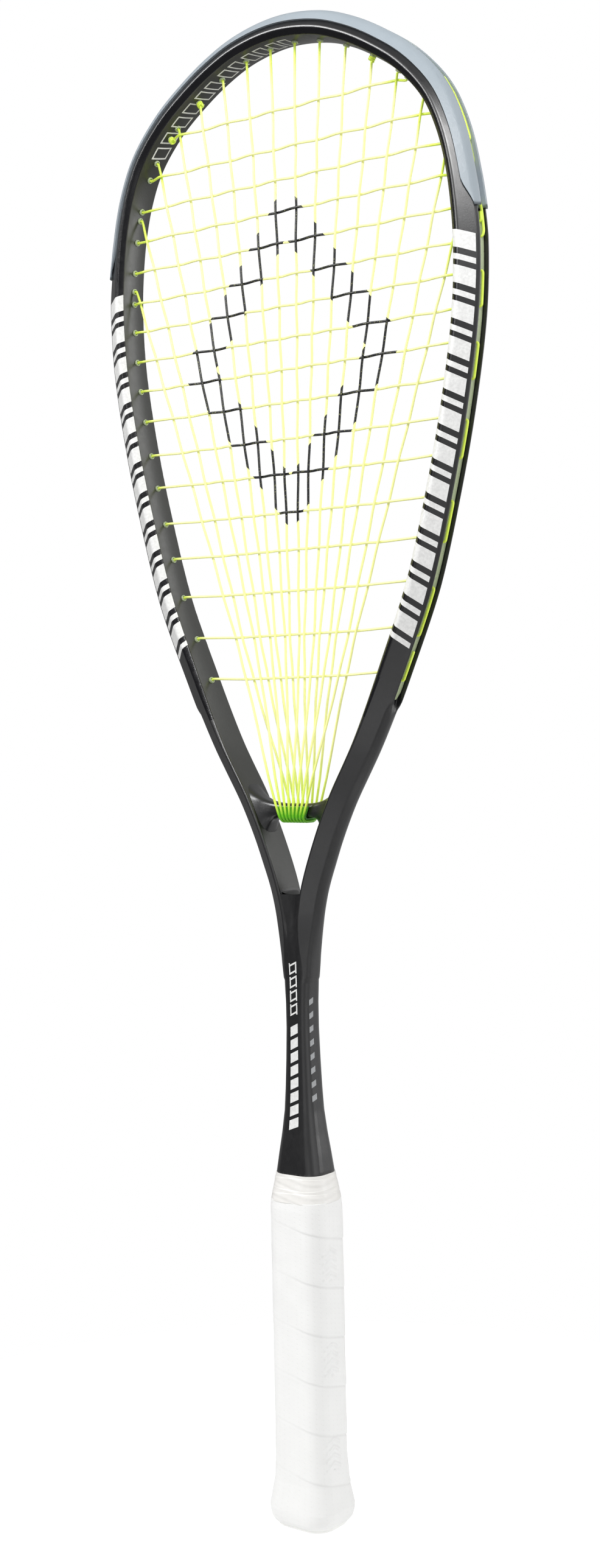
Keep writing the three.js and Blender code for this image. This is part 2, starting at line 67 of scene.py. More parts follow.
CROTCH = 287.0          # height of the floor between the arms
WEB_HALF = 5.6          # half depth of the web at the crotch
WEB_LOW = 252           # the web is as deep as the arms below this height
LEVEL_FROM = 314        # below this height the arms' sections turn level
MERGE = (242, 280)      # the two arms run together between these heights
NECK_STEP = (239, 237.5)   # rings are closer together above this gap in the neck
ROUND_BELOW = 249       # the neck follows its own table of sections below this height
GLOSS_ABOVE = 366       # the chamfers inside the hoop are glossy above this height
COLLAR = 161.0          # lower rim of the flared neck
NECK_Z = (161.0, 169.5, 178.5, 189, 199, 212, 226, 238, 249)
NECK_A = (12.3, 11.1, 9.6, 8.2, 7.5, 6.9, 6.4, 6.5, 7.0)
NECK_B = (10.7, 10.1, 9.2, 8.1, 7.6, 7.2, 6.9, 6.8, 6.8)
NECK_R = (7.6, 7.6, 7.0, 6.0, 5.4, 5.0, 4.6, 4.6, 4.5)

STRING_R = 0.57
CROSS_Z = (
    638.9, 621.9, 607.9, 593.8, 579.6, 565, 551.5, 537.2, 523.1, 508.4,
    492, 476.4, 459, 442.1, 423.7, 404, 384.7,
)
MAIN_ARCS = (148.8, 115.6, 87.8, 68.5, 52.4, 36.4, 21.2, 7.0)
CROSS_OFF, MAIN_OFF = 0.92, 0.3
FAN_END = 392
LOOP_SINK, UPPER_LOOP, LOOP_SHOULDER, LOOP_CUT = 0.8, 1.25, 2.4, 1.3
MAIN_TAIL, CROSS_TAIL, LAST_TAIL = 4, 5, 14
BRIDGE_PITCH = 2.5
BARREL_R, BARREL_BORE, BARREL_STAND = 1.5, 0.85, 1.4
WALL_BULGE, WALL_HALF = 0.55, 6.6     # the head's inner wall is slightly crowned
STRIP_BASE, STRIP_HALF, STRIP_ARCS = 0.6, 2.5, (144.6, 350)
BUMPER_END, BUMPER_CUT, BUMPER_RIM, BUMPER_CHANNEL = 143, 12, 1.4, 2.0
BRIDGE_TOP, BRIDGE_BOTTOM, BRIDGE_HALF, BRIDGE_FLARE = 327.8, 321.6, 3.6, 7.2
BRIDGE_END_TOP, BRIDGE_END_BOTTOM = 338.5, 314
SADDLE_HALF, SADDLE_LOW, SADDLE_HIGH, SADDLE_THICK, SADDLE_LENGTH = 4.0, 321.1, 326.6, 0.6, 19.0
WRAP_TAPER = 0.27
GAP = 0.3               # clearance between neighbouring pieces

GRIP_PITCH, GRIP_ROUND, SEAM_PHASE = 22.4, 95.0, 0.87
EMBOSS_Z, EMBOSS_TURN = (121.0, 78.0, 35.0), 0.215
EMBOSS_HALF, EMBOSS_HIGH, EMBOSS_PITCH, EMBOSS_DEPTH = 4.6, 7.5, 3.6, 0.4
GRIP_LOW, GRIP_TOP, TAPE_LOW, TAPE_TOP = 1.8, 149.0, 148.4, 160.8
GRIP_Z = (1.8, 2.5, 4.0, 6.3, 9, 14, 21, 32, 145, 149)
GRIP_A = (15.2, 16.2, 17.0, 17.5, 17.6, 16.8, 15.6, 15.0, 15.0, 14.7)
GRIP_B = (13.4, 14.4, 15.2, 15.7, 15.9, 15.0, 13.7, 13.2, 13.2, 12.9)
GRIP_R = (9.4, 10.2, 10.7, 11.0, 11.0, 10.4, 9.5, 9.2, 9.2, 9.0)
TAPE_SIZES = ((14.3, 12.55), (12.5, 10.95), (8.8, 7.9))   # half width, half depth, corner
TAPE_EDGES = (151.8, 155.2, 158.4)

# Printed marks: heights of the limb bands, and of the rows down the shaft.
LIMB_MARKS, BAND_RUN, BAND_CELLS = (567, 398), (0.5, 12.0), 12
BOX_ROW_TOP, BOX_ROW_PITCH, BLOCK_ROW_TOP, BLOCK_ROW_PITCH = 256, 6.2, 228, 6.0
SIDE_ROW_TOP, SIDE_BLOCK = 240, 2.6
FRONT_TURNS, SIDE_TURNS = (-14, 18), (62, 84)      # degrees round the shaft from its front
BOX_HIGH, BOX_LINE, BOX_SLANT, BOX_SHARE = 8.6, 0.75, 0.25, 0.42
INK_LIFT = 0.05


# ---- the inner wall

def catmull_rom(points, steps=60):
    """Smooth centripetal curve through points."""
    p = np.array(points, float)
    p = np.vstack([2 * p[0] - p[1], p, 2 * p[-1] - p[-2]])
    out = []
    for p0, p1, p2, p3 in zip(p, p[1:], p[2:], p[3:]):
        d0, d1, d2 = (math.sqrt(np.linalg.norm(q - r)) for q, r in ((p1, p0), (p2, p1), (p3, p2)))
        t1 = ((p1 - p0) / d0 - (p2 - p0) / (d0 + d1) + (p2 - p1) / d1) * d1
        t2 = ((p2 - p1) / d1 - (p3 - p1) / (d1 + d2) + (p3 - p2) / d2) * d1
        t = np.linspace(0, 1, steps, endpoint=False)[:, None]
        square, cube = 3 * (p2 - p1) - 2 * t1 - t2, 2 * (p1 - p2) + t1 + t2
        out.append(p1 + t1 * t + square * t**2 + cube * t**3)
    return np.vstack(out + [p[-2]])


def lengths_along(points):
    return np.concatenate([[0], np.cumsum(np.linalg.norm(np.diff(points, axis=0), axis=1))])


def sample(at, knots, points, **options):
    """Points on a polyline at places along it; knots are the places of its own points."""
    return np.stack([np.interp(at, knots, column, **options) for column in points.T], -1)


wall = catmull_rom(INNER_WALL + [(0, CROWN)] + [(-x, z) for x, z in reversed(INNER_WALL)])
wall_s = lengths_along(wall)
wall_t = np.gradient(wall, wall_s, axis=0)
HALF_LENGTH = wall_s[-1] / 2
right = wall_s < HALF_LENGTH


def wall_at(arcs):
    """Points (x, z) and outward directions at distances from the crown, positive on the right."""
    s = HALF_LENGTH - np.asarray(arcs, float)
    point, along = sample(s, wall_s, wall), sample(s, wall_s, wall_t)
    out = np.stack([along[..., 1], -along[..., 0]], -1)
    return point, out / np.linalg.norm(out, axis=-1, keepdims=True)


def arc_at(z):
    return HALF_LENGTH - np.interp(z, wall[right][:, 1], wall_s[right])


def wall_x(z):
    """Distance of the inner wall from the centre line at a height."""
    return np.interp(z, wall[right][:, 1], wall[right][:, 0])


def off_wall(arcs, thick, y=0.0):
    """Points that lie off the wall by a thickness and off the string plane by y."""
    point, out = wall_at(arcs)
    flat = point + out * np.asarray(thick, float)[..., None]
    return np.stack([flat[..., 0], np.broadcast_to(y, flat[..., 0].shape), flat[..., 1]], -1)


def on_wall(arcs, section):
    """Sections (thickness, depth) stood on the wall, one at each arc."""
    return off_wall(arcs[:, None], section[..., 0], section[..., 1])


def stage(z, values):
    return np.interp(z, STAGE_Z, values)


def smoothstep(x, low, high):
    t = np.clip((np.asarray(x, float) - low) / (high - low), 0, 1)
    return t * t * (3 - 2 * t)


def thick_at(arcs):
    return stage(wall_at(arcs)[0][..., 1], THICK)


cross_arcs = np.array([float(arc_at(z)) for z in CROSS_Z])


# ---- mesh helpers

def soften(corners, cuts, steps=4):
    """Closed outlines, shape (outlines, corners, 2), with each corner cut back and rounded."""
    back = np.roll(corners, 1, axis=1) - corners
    ahead = np.roll(corners, -1, axis=1) - corners
    lengths = [np.maximum(np.linalg.norm(v, axis=-1, keepdims=True), 1e-6) for v in (back, ahead)]
    limit = np.minimum(0.45 * lengths[0], 0.45 * lengths[1])
    cut = np.minimum(np.asarray(cuts, float)[..., None], limit)
    start = corners + back / lengths[0] * cut
    end = corners + ahead / lengths[1] * cut
    rows = []
    for t in np.linspace(0, 1, steps + 1):
        rows.append((1 - t) ** 2 * start + 2 * t * (1 - t) * corners + t * t * end)
    return np.stack(rows, 2).reshape(corners.shape[0], -1, 2)


def outlines(rows, like=0.0):
    """Outlines from (u, v) pairs, given once for all rings or once for each."""
    return np.stack([np.stack(np.broadcast_arrays(u, v, like)[:2], -1) for u, v in rows], -2)


def mirrored(half):
    """Outlines closed by their own mirror images across the string plane."""
    return np.concatenate([half, (half * (1, -1))[..., ::-1, :]], -2)


def add_object(name, data):
    obj = bpy.data.objects.new(name, data)
    scene.collection.objects.link(obj)
    return obj


class Pile:
    """Collects closed or open skins that share one object."""

    def __init__(self):
        self.verts, self.faces, self.total = [], [], 0

    def skin(self, rings, lids=True):
        """Quads between matching rings, with a flat lid on both ends."""
        rings = np.asarray(rings, float)
        rows, count = rings.shape[:2]
        i = np.arange(rows - 1)[:, None] * count + self.total
        j = np.arange(count)[None, :]
        k = (j + 1) % count
        faces = np.stack([i + j, i + k, i + count + k, i + count + j], -1)
        self.faces += faces.reshape(-1, 4).tolist()
        if lids:
            for first in (self.total, self.total + (rows - 1) * count):
                self.faces.append(list(range(first, first + count)))
        self.verts.append(rings.reshape(-1, 3))
        self.total += rows * count

    def patch(self, grid):
        """An open sheet through a grid of points."""
        grid = np.asarray(grid)
        rows, cols = grid.shape[:2]
        i = np.arange(rows - 1)[:, None] * cols + self.total
        j = np.arange(cols - 1)[None, :]
        faces = np.stack([i + j, i + j + 1, i + cols + j + 1, i + cols + j], -1)
        self.faces += faces.reshape(-1, 4).tolist()
        self.verts.append(grid.reshape(-1, 3))
        self.total += rows * cols

    def build(self, name, material, weighted=True, weld=0.0):
        """A smooth mesh that rides on the racket; weld joins points closer than that in mm."""
        mesh = bpy.data.meshes.new(name)
        mesh.from_pydata((np.vstack(self.verts) * MM).tolist(), [], self.faces)
        work = bmesh.new()
        work.from_mesh(mesh)
        if weld:
            bmesh.ops.remove_doubles(work, verts=work.verts, dist=weld * MM)
        bmesh.ops.recalc_face_normals(work, faces=work.faces)
        work.to_mesh(mesh)
        work.free()
        mesh.polygons.foreach_set("use_smooth", [True] * len(mesh.polygons))
        mesh.materials.append(material)
        obj = add_object(name, mesh)
        if weighted:
            obj.modifiers.new("even_normals", "WEIGHTED_NORMAL").keep_sharp = True
        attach(obj, "root")
        return obj


def one_skin(name, rings, material, lids=True, **options):
    pile = Pile()
    pile.skin(rings, lids)
    return pile.build(name, material, **options)


def tube_rings(path, radius, sides=10):
    """Round sections along a path, kept from twisting."""
    path = np.asarray(path, float)
    along = np.gradient(path, axis=0)
    along /= np.linalg.norm(along, axis=1, keepdims=True)
    normal = np.cross(along[0], (0.3, 0.5, 0.81))
    normals = []
    for tangent in along:
        normal = normal - tangent * np.dot(normal, tangent)
        normal /= np.linalg.norm(normal)
        normals.append(normal)
    normals = np.array(normals)
    sideways = np.cross(along, normals)
    angles = (np.arange(sides) / sides * TAU)[None, :, None]
    circle = normals[:, None] * np.cos(angles) + sideways[:, None] * np.sin(angles)
    return path[:, None] + circle * radius


def round_path(points, cut, steps=5):
    """Open path through points with its corners rounded."""
    points = [np.asarray(p, float) for p in points]
    out = [points[0]]
    t = np.linspace(0, 1, steps)[:, None]
    for before, here, after in zip(points, points[1:], points[2:]):
        ways = [(way, np.linalg.norm(way)) for way in (before - here, after - here)]
        start, end = (here + way * (min(cut, 0.45 * size) / max(size, 1e-9)) for way, size in ways)
        out.append((1 - t) ** 2 * start + 2 * t * (1 - t) * here + t * t * end)
    return np.vstack(out + [points[-1]])


# ---- materials

class Nodes:
    """Short calls for adding nodes to a tree."""

    def __init__(self, tree):
        self.tree = tree

    def node(self, kind, inputs=None, **settings):
        made = self.tree.nodes.new(kind)
        for key, value in settings.items():
            setattr(made, key, value)
        for key, value in (inputs or {}).items():
            if isinstance(value, bpy.types.NodeSocket):
                self.tree.links.new(value, made.inputs[key])
            else:
                made.inputs[key].default_value = value
        return made

    def spread(self, value, low, high, to_low, to_high):
        inputs = {0: value, 1: low, 2: high, 3: to_low, 4: to_high}
        return self.node("ShaderNodeMapRange", inputs).outputs[0]


class Shader(Nodes):
    """A material with one Principled shader; settings are that shader's own."""

    def __init__(self, name, **settings):
        self.material = bpy.data.materials.new(name)
        self.material.use_nodes = True
        super().__init__(self.material.node_tree)
        self.surface = self.tree.nodes["Principled BSDF"]
        for key, value in settings.items():
            self.surface.inputs[key.replace("_", " ")].default_value = value

    def place(self):
        return self.node("ShaderNodeTexCoord").outputs["Object"]

    def noise(self, scale, detail=3.0):
        inputs = {"Vector": self.place(), "Scale": scale, "Detail": detail, "Roughness": 0.55}
        return self.node("ShaderNodeTexNoise", inputs).outputs["Fac"]

    def axis(self, index, vector=None):
        """One coordinate of a vector, by default of the point itself."""
        return self.node("ShaderNodeSeparateXYZ", {0: vector or self.place()}).outputs[index]

    def math(self, operation, a, b=0.0):
        return self.node("ShaderNodeMath", {0: a, 1: b}, operation=operation).outputs[0]

    def blend(self, factor, a, b):
        return self.node("ShaderNodeMix", {0: factor, 6: a, 7: b}, data_type="RGBA").outputs[2]

    def set(self, socket, value):
        self.tree.links.new(value, self.surface.inputs[socket])

    def bump(self, height, distance, strength=1.0):
        inputs = {"Height": height, "Distance": distance, "Strength": strength}
        self.set("Normal", self.node("ShaderNodeBump", inputs).outputs[0])


def clouded(name, low, high, cloud, rough, grain=None, depth=0.0, **settings):
    """Two close tones in soft clouds, a drifting roughness, and a fine grain of a depth in metres.

    cloud and grain are their noise's (scale, detail), and rough is (scale, detail, lowest, highest).
    """
    s = Shader(name, **settings)
    s.set("Base Color", s.blend(s.noise(*cloud), low + (1,), high + (1,)))
    s.set("Roughness", s.spread(s.noise(*rough[:2]), 0.3, 0.7, *rough[2:]))
    if grain:
        s.bump(s.noise(*grain), depth)
    return s.material


def ink_material(name, color):
    """Printing ink, a little worn."""
    s = Shader(name, Coat_Weight=0.2)
    wear_and_painted_shade = s.noise(900, 3)
    dark = tuple(c * 0.86 for c in color)
    s.set("Base Color", s.blend(s.spread(wear_and_painted_shade, 0.35, 0.65, 0, 1), dark + (1,), color + (1,)))
    s.set("Roughness", s.spread(wear_and_painted_shade, 0.3, 0.7, 0.39, 0.53))
    return s.material


# The diamond stencil and a simple outline of the string bed, in metres.
STENCIL_Z, STENCIL_W, STENCIL_H, STENCIL_INNER = 0.528, 0.062, 0.078, 0.68
BED_WIDEST_Z, BED_WIDEST, BED_RISE, BED_TAPER = 0.560, 0.0918, 0.108, 1.29
# The string is painted darker and greener towards the wall, the crown, the throat and the bridge:
# painted shade from the frame, the crowded strings and the bridge.
EDGE_FADE, CROWN_FADE, THROAT_FADE, WRAP_FADE = (
    (0.010, 0.004), (0.649, 0.662), (0.354, 0.328), (0.3275, 0.3225))


def bed_margin(s, place):
    """Distance from a string's point in to the inner wall, from a simple outline of the bed."""
    above = s.math("SUBTRACT", place.outputs[2], BED_WIDEST_Z)
    up = s.math("DIVIDE", s.math("MAXIMUM", above, 0.0), BED_RISE)
    down = s.math("MINIMUM", above, 0.0)
    arch = s.math("SQRT", s.math("MAXIMUM", s.math("SUBTRACT", 1.0, s.math("MULTIPLY", up, up)), 0.0))
    taper = s.math("MULTIPLY", s.math("MULTIPLY", down, down), BED_TAPER)
    width = s.math("SUBTRACT", s.math("MULTIPLY", arch, BED_WIDEST), taper)
    return s.math("SUBTRACT", width, s.math("ABSOLUTE", place.outputs[0]))


def string_material():
    """Pale neon string with painted shade, darker and greener at the frame and the bridge, a faint
    painted glow, and a plain black diamond stencil.
    """
    # The string glows faintly in its own colour: painted light, as it is no lamp.
    s = Shader("string_neon", Roughness=0.34, Emission_Strength=0.2)
    place = s.node("ShaderNodeSeparateXYZ", {0: s.place()})
    across = s.math("DIVIDE", s.math("ABSOLUTE", place.outputs[0]), STENCIL_W)
    above = s.math("SUBTRACT", place.outputs[2], STENCIL_Z)
    up = s.math("DIVIDE", s.math("ABSOLUTE", above), STENCIL_H)
    ring = s.math("ADD", across, up)
    inside, outside = s.math("LESS_THAN", ring, 1.0), s.math("GREATER_THAN", ring, STENCIL_INNER)
    ink = s.math("MULTIPLY", inside, outside)
    ink = s.math("MULTIPLY", ink, s.spread(s.noise(1600, 2), 0.3, 0.42, 0.7, 1.0))
    # Painted shade: near the wall, the crown and the throat the string turns darker and greener.
    edge = s.spread(bed_margin(s, place), *EDGE_FADE, 0.0, 1.0)
    crown = s.spread(place.outputs[2], *CROWN_FADE, 0.0, 1.0)
    throat = s.spread(place.outputs[2], *THROAT_FADE, 0.0, 1.0)
    painted_shade = s.math("MAXIMUM", s.math("MAXIMUM", edge, crown), throat)
    wrap = s.spread(place.outputs[2], *WRAP_FADE, 0.0, 1.0)
    pale = s.blend(s.noise(300, 2), (0.82, 0.84, 0.30, 1), (0.88, 0.89, 0.40, 1))
    neon = s.blend(s.noise(300, 2), (0.58, 0.76, 0.06, 1), (0.70, 0.84, 0.12, 1))
    # A dark green painted shade where the string wraps round the bridge.
    color = s.blend(wrap, s.blend(painted_shade, pale, neon), (0.13, 0.45, 0.012, 1))
    s.set("Base Color", s.blend(ink, color, (0.012, 0.013, 0.016, 1)))
    # Painted glow: emission in the string's colour, none on the ink.
    s.set("Emission Color", s.blend(ink, color, (0, 0, 0, 1)))
    s.bump(s.noise(2600, 2), 0.00003)
    return s.material


HOLE_STEP, HOLE_ROW = 2.9, 2.2      # the perforations' spacing in mm, along and up


def grip_material():
    """Soft white leather with rows of fine holes, with painted shade greying it low down and in the
    seams, mostly on the right side.
    """
    s = Shader("grip_cushion", Sheen_Weight=0.12, Sheen_Roughness=0.5, Specular_IOR_Level=0.35)
    uv = s.node("ShaderNodeTexCoord").outputs["UV"]
    per_hole = (1 / HOLE_STEP, 1 / HOLE_ROW, 1)
    cell = s.node("ShaderNodeVectorMath", {0: uv, 1: per_hole}, operation="MULTIPLY").outputs[0]
    dots = s.node("ShaderNodeTexVoronoi", {"Vector": cell, "Scale": 1.0, "Randomness": 0.0})
    hole = s.spread(dots.outputs["Distance"], 0.1, 0.17, 1.0, 0.0)
    grain = s.node("ShaderNodeTexVoronoi", {"Vector": s.place(), "Scale": 1400.0, "Randomness": 1.0})
    soft = s.noise(120, 4)
    clean = s.blend(soft, (0.83, 0.83, 0.82, 1), (0.90, 0.90, 0.89, 1))
    # Painted shade: the leather is drawn greyer towards the bottom of the handle.
    wear_and_painted_shade = s.spread(s.axis(2), 0.0, 0.14, 0.38, 0.02)
    leather_with_painted_shade = s.blend(wear_and_painted_shade, clean, (0.5, 0.5, 0.49, 1))
    climb = s.math("DIVIDE", s.axis(1, uv), GRIP_PITCH)
    off_seam = s.math("PINGPONG", s.math("ADD", climb, SEAM_PHASE), 0.5)
    # Painted shade in the seams between turns, full on the right side and faint on the left.
    seam = s.spread(off_seam, 0.008, 0.035, 0.12, 0.0)
    side = s.spread(s.axis(0), 0.0, 0.012, 0.15, 1.0)
    leather_with_painted_shade = s.blend(s.math("MULTIPLY", seam, side), leather_with_painted_shade, (0.4, 0.4, 0.39, 1))
    s.set("Base Color", s.blend(s.math("MULTIPLY", hole, 0.05), leather_with_painted_shade, (0.45, 0.45, 0.44, 1)))
    s.set("Roughness", s.spread(soft, 0.3, 0.7, 0.58, 0.72))
    pores = s.math("MULTIPLY", grain.outputs["Distance"], 0.25)
    s.bump(s.math("SUBTRACT", pores, s.math("MULTIPLY", hole, 0.4)), 0.00008, 0.8)
    return s.material


CARBON_GRAIN, NYLON_GRAIN = ((1500, 2), 0.00004), ((1300, 3), 0.00005)
carbon = clouded("carbon_satin", (0.004, 0.004, 0.005), (0.009, 0.009, 0.010), (90, 4),
                 (420, 3, 0.31, 0.42), *CARBON_GRAIN, Coat_Weight=0.8, Coat_Roughness=0.25)
carbon_gloss = clouded("carbon_gloss", (0.003, 0.003, 0.004), (0.006, 0.006, 0.008), (90, 4),
                       (420, 3, 0.15, 0.26), *CARBON_GRAIN)
carbon_wall = clouded("carbon_inner_wall", (0.005, 0.006, 0.003), (0.012, 0.013, 0.008), (90, 4),
                      (420, 3, 0.35, 0.46), *CARBON_GRAIN, Coat_Weight=0.6, Coat_Roughness=0.3)
white_ink = ink_material("ink_white", (0.82, 0.82, 0.81))
grey_ink = ink_material("ink_grey", (0.36, 0.37, 0.38))
guard_nylon = clouded("bumper_nylon", (0.32, 0.37, 0.41), (0.39, 0.44, 0.48), (70, 4),
                      (600, 3, 0.31, 0.44), *NYLON_GRAIN, Transmission_Weight=0.12, IOR=1.52)
strip_nylon = clouded("grommet_nylon", (0.40, 0.48, 0.27), (0.56, 0.64, 0.40), (70, 4),
                      (600, 3, 0.25, 0.38), *NYLON_GRAIN, Transmission_Weight=0.1, IOR=1.52)
string_neon = string_material()
saddle_green = clouded("saddle_green", (0.045, 0.34, 0.005), (0.10, 0.52, 0.012), (260, 3),
                       (260, 3, 0.24, 0.36), Transmission_Weight=0.25, Coat_Weight=0.3)
grip_white = grip_material()
tape_white = clouded("tape_vinyl", (0.78, 0.765, 0.73), (0.88, 0.87, 0.85), (160, 4),
                     (160, 4, 0.35, 0.5), (500, 4), 0.00008, Coat_Weight=0.25, Coat_Roughness=0.2)
cap_plastic = clouded("cap_plastic", (0.76, 0.76, 0.74), (0.83, 0.83, 0.81), (150, 4),
                      (150, 4, 0.45, 0.6), (600, 3), 0.00005)
foam = clouded("pallet_foam", (0.52, 0.48, 0.39), (0.62, 0.58, 0.48), (600, 4),
               (600, 4, 0.8, 0.95), (2400, 3), 0.0002)
steel = clouded("staple_wire", (0.5, 0.5, 0.5), (0.62, 0.62, 0.62), (900, 4),
                (900, 4, 0.25, 0.4), (3600, 3), 0.00003, Metallic=1.0)


# ---- frame

def frame_corners(z, tilt):
    """Corners (thickness, depth) of the frame's section at heights z, from inner wall to groove."""
    thick, depth, head = stage(z, THICK) * tilt, stage(z, DEPTH), stage(z, HEAD)
    open_ = smoothstep(z, GROOVE_END - GROOVE_FADE, GROOVE_END)

    def mix(arm, full):
        return arm + (full - arm) * head

    def widen(shut, full):
        return shut + (full - shut) * open_

    rows = [
        (0 * thick, depth * mix(0.9, 0.77)),
        (mix(0.9, 3.0), depth),
        (thick - mix(1.6, 0.8), mix(4.3, 4.4)),
        (thick - widen(0.6, 0), widen(2.8, 3.6)),
        (thick - widen(0.2, 0), widen(1.8, GROOVE_HALF)),
        (thick - widen(0, GROOVE_DEPTH), widen(0.8, GROOVE_HALF - 0.1)),
    ]
    return mirrored(outlines(rows))


HALF_CUTS = (0.55, 2.2, 1.1, 0.5, 0.35, 0.3)      # how far each corner is cut back, wall to groove
BULGE_SHARES = np.linspace(-1, 1, 11)[1:-1]


def frame_rings(arcs):
    """Rounded sections of the hoop and arms, in space and in (thickness, depth)."""
    point, out = wall_at(arcs)
    level = smoothstep(point[:, 1], LEVEL_FROM, CROTCH)
    flat = np.stack([np.sign(out[:, 0]), np.zeros(len(arcs))], -1)
    way = out + (flat - out) * level[:, None]
    way /= np.linalg.norm(way, axis=1, keepdims=True)
    tilt = 1 + level * (1 / np.abs(out[:, 0]) - 1)
    section = soften(frame_corners(point[:, 1], tilt), HALF_CUTS + HALF_CUTS[::-1])
    y = BULGE_SHARES * section[:, :1, 1]
    bulge = -WALL_BULGE * stage(point[:, 1], HEAD)[:, None] * (1 - BULGE_SHARES**2)
    section = np.concatenate([section, np.stack([bulge, y], -1)], 1)
    flat_points = point[:, None] + way[:, None] * section[..., :1]
    return np.stack([flat_points[..., 0], section[..., 1], flat_points[..., 1]], -1), section


def rounded_quarter(a, b, r, fractions):
    """Points from (0, b) to (a, 0) round a rounded corner, by share of the way."""
    straight, arc, side = a - r, r * math.pi / 2, b - r
    points = []
    for share in fractions:
        s = share * (straight + arc + side)
        angle = np.clip((s - straight) / r, 0, math.pi / 2)
        x = np.minimum(s, straight) + r * np.sin(angle)
        y = b - r + r * np.cos(angle) - np.maximum(s - straight - arc, 0)
        points.append((x, y))
    return outlines(points)


def neck_rings():
    """The shaft: two arms that run together into a round neck."""
    z = np.concatenate([np.linspace(CROTCH, NECK_STEP[0], 44), np.linspace(NECK_STEP[1], COLLAR, 56)])
    x_in = wall_x(z)
    point, out = wall_at(arc_at(z))
    tilt = 1 / np.abs(out[:, 0])
    inner = np.maximum(x_in, 0.3)
    arm = frame_corners(z, tilt)[:, :6] + np.stack([inner, 0 * z], -1)[:, None]
    depth = stage(z, DEPTH)
    web = depth + (WEB_HALF - depth) * smoothstep(z, WEB_LOW, CROTCH)
    edge = depth * 0.86
    floor = outlines([(0 * z, web), (inner * 0.35, web + 0.2 * (edge - web)), (inner, edge)])
    split = np.concatenate([floor, arm], 1)
    a = np.where(z > ROUND_BELOW, x_in + stage(z, THICK) * tilt, np.interp(z, NECK_Z, NECK_A))
    b = np.where(z > ROUND_BELOW, depth, np.interp(z, NECK_Z, NECK_B))
    shares = (0, 0.12, 0.24, 0.36, 0.48, 0.6, 0.72, 0.84, 0.94)
    whole = rounded_quarter(a, b, np.interp(z, NECK_Z, NECK_R), shares)
    merge = 1 - smoothstep(z, *MERGE)
    quarter = split + (whole - split) * merge[:, None, None]
    back = quarter[:, 1:]
    front = (back * (1, -1))[:, ::-1]
    outline = np.concatenate([quarter[:, :1], back, front, quarter[:, :1] * (1, -1),
                              (back * (-1, -1)), (back * (-1, 1))[:, ::-1]], 1)
    cuts = (0.8, 0.4, 0.4) + HALF_CUTS
    section = soften(outline, 2 * (cuts + cuts[:0:-1]))
    return np.concatenate([section, np.broadcast_to(z[:, None, None], section.shape[:2] + (1,))], -1)


def crotch_floor():
    """The web's top between the arms, dished up into both of them."""
    inner = float(wall_x(CROTCH))
    u, v = np.meshgrid(np.linspace(-1, 1, 17), np.linspace(-1, 1, 9))
    half = WEB_HALF + 0.5 * smoothstep(np.abs(u), 0.85, 1)
    return np.stack([u * inner, v * half, CROTCH + 0.9 * np.abs(u) ** 5 - 0.35 * v**4 + 0.35], -1)


def make_frame():
    top = float(arc_at(CROTCH))
    arcs = np.linspace(top, -top, 430)
    rings, _ = frame_rings(arcs)
    pile = Pile()
    pile.skin(rings, lids=False)
    neck = neck_rings()
    lip = [neck[-1] * (share, share, 1) - (0, 0, drop)
           for share, drop in ((0.985, 0.25), (0.94, 0.3), (0.62, 0.3))]
    pile.skin(np.concatenate([neck, lip]), lids=False)
    pile.patch(crotch_floor())
    obj = pile.build("frame_carbon", carbon, weld=0.03)
    obj.data.materials.append(carbon_gloss)
    obj.data.materials.append(carbon_wall)
    tint_hoop(obj)
    return obj


def tint_hoop(obj):
    """Gloss black on the chamfers inside the hoop, a warmer coat on its inner wall."""
    for polygon in obj.data.polygons:
        x, y, z = polygon.center / MM
        if z < CROTCH + 2:
            continue
        nearest = np.argmin((wall[:, 0] - x) ** 2 + (wall[:, 1] - z) ** 2)
        out = np.array([wall_t[nearest, 1], -wall_t[nearest, 0]])
        thick = float(np.dot((x, z) - wall[nearest], out / np.linalg.norm(out)))
        if thick < 0.12:
            polygon.material_index = 2
        elif thick < 2.75 and z > GLOSS_ABOVE:
            polygon.material_index = 1


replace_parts(make_frame(), "frame")


# ---- throat bridge and saddle

def make_bridge():
    """A bar of round-cornered sections that swells into both arms."""
    s = np.linspace(-1, 1, 101)
    top_x = off_wall(arc_at(BRIDGE_END_TOP), 0.5)[0]
    low_x = off_wall(arc_at(BRIDGE_END_BOTTOM), 0.5)[0]
    half = BRIDGE_HALF + (BRIDGE_FLARE - BRIDGE_HALF) * np.abs(s) ** 5
    top = BRIDGE_TOP + (BRIDGE_END_TOP - BRIDGE_TOP) * np.abs(s) ** 3.4
    low = BRIDGE_BOTTOM + (BRIDGE_END_BOTTOM - BRIDGE_BOTTOM) * np.abs(s) ** 8
    angles = np.linspace(0, TAU, 48, endpoint=False)
    squareness = 2 / 3.2
    across = np.sign(np.cos(angles)) * np.abs(np.cos(angles)) ** squareness
    rise = 0.5 + 0.5 * np.sign(np.sin(angles)) * np.abs(np.sin(angles)) ** squareness
    z = low[:, None] + (top - low)[:, None] * rise
    x = s[:, None] * (low_x + (top_x - low_x) * rise)
    obj = one_skin("bridge_carbon", np.stack([x, half[:, None] * across, z], -1), carbon)
    return obj


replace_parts(make_bridge(), "throat_bridge")


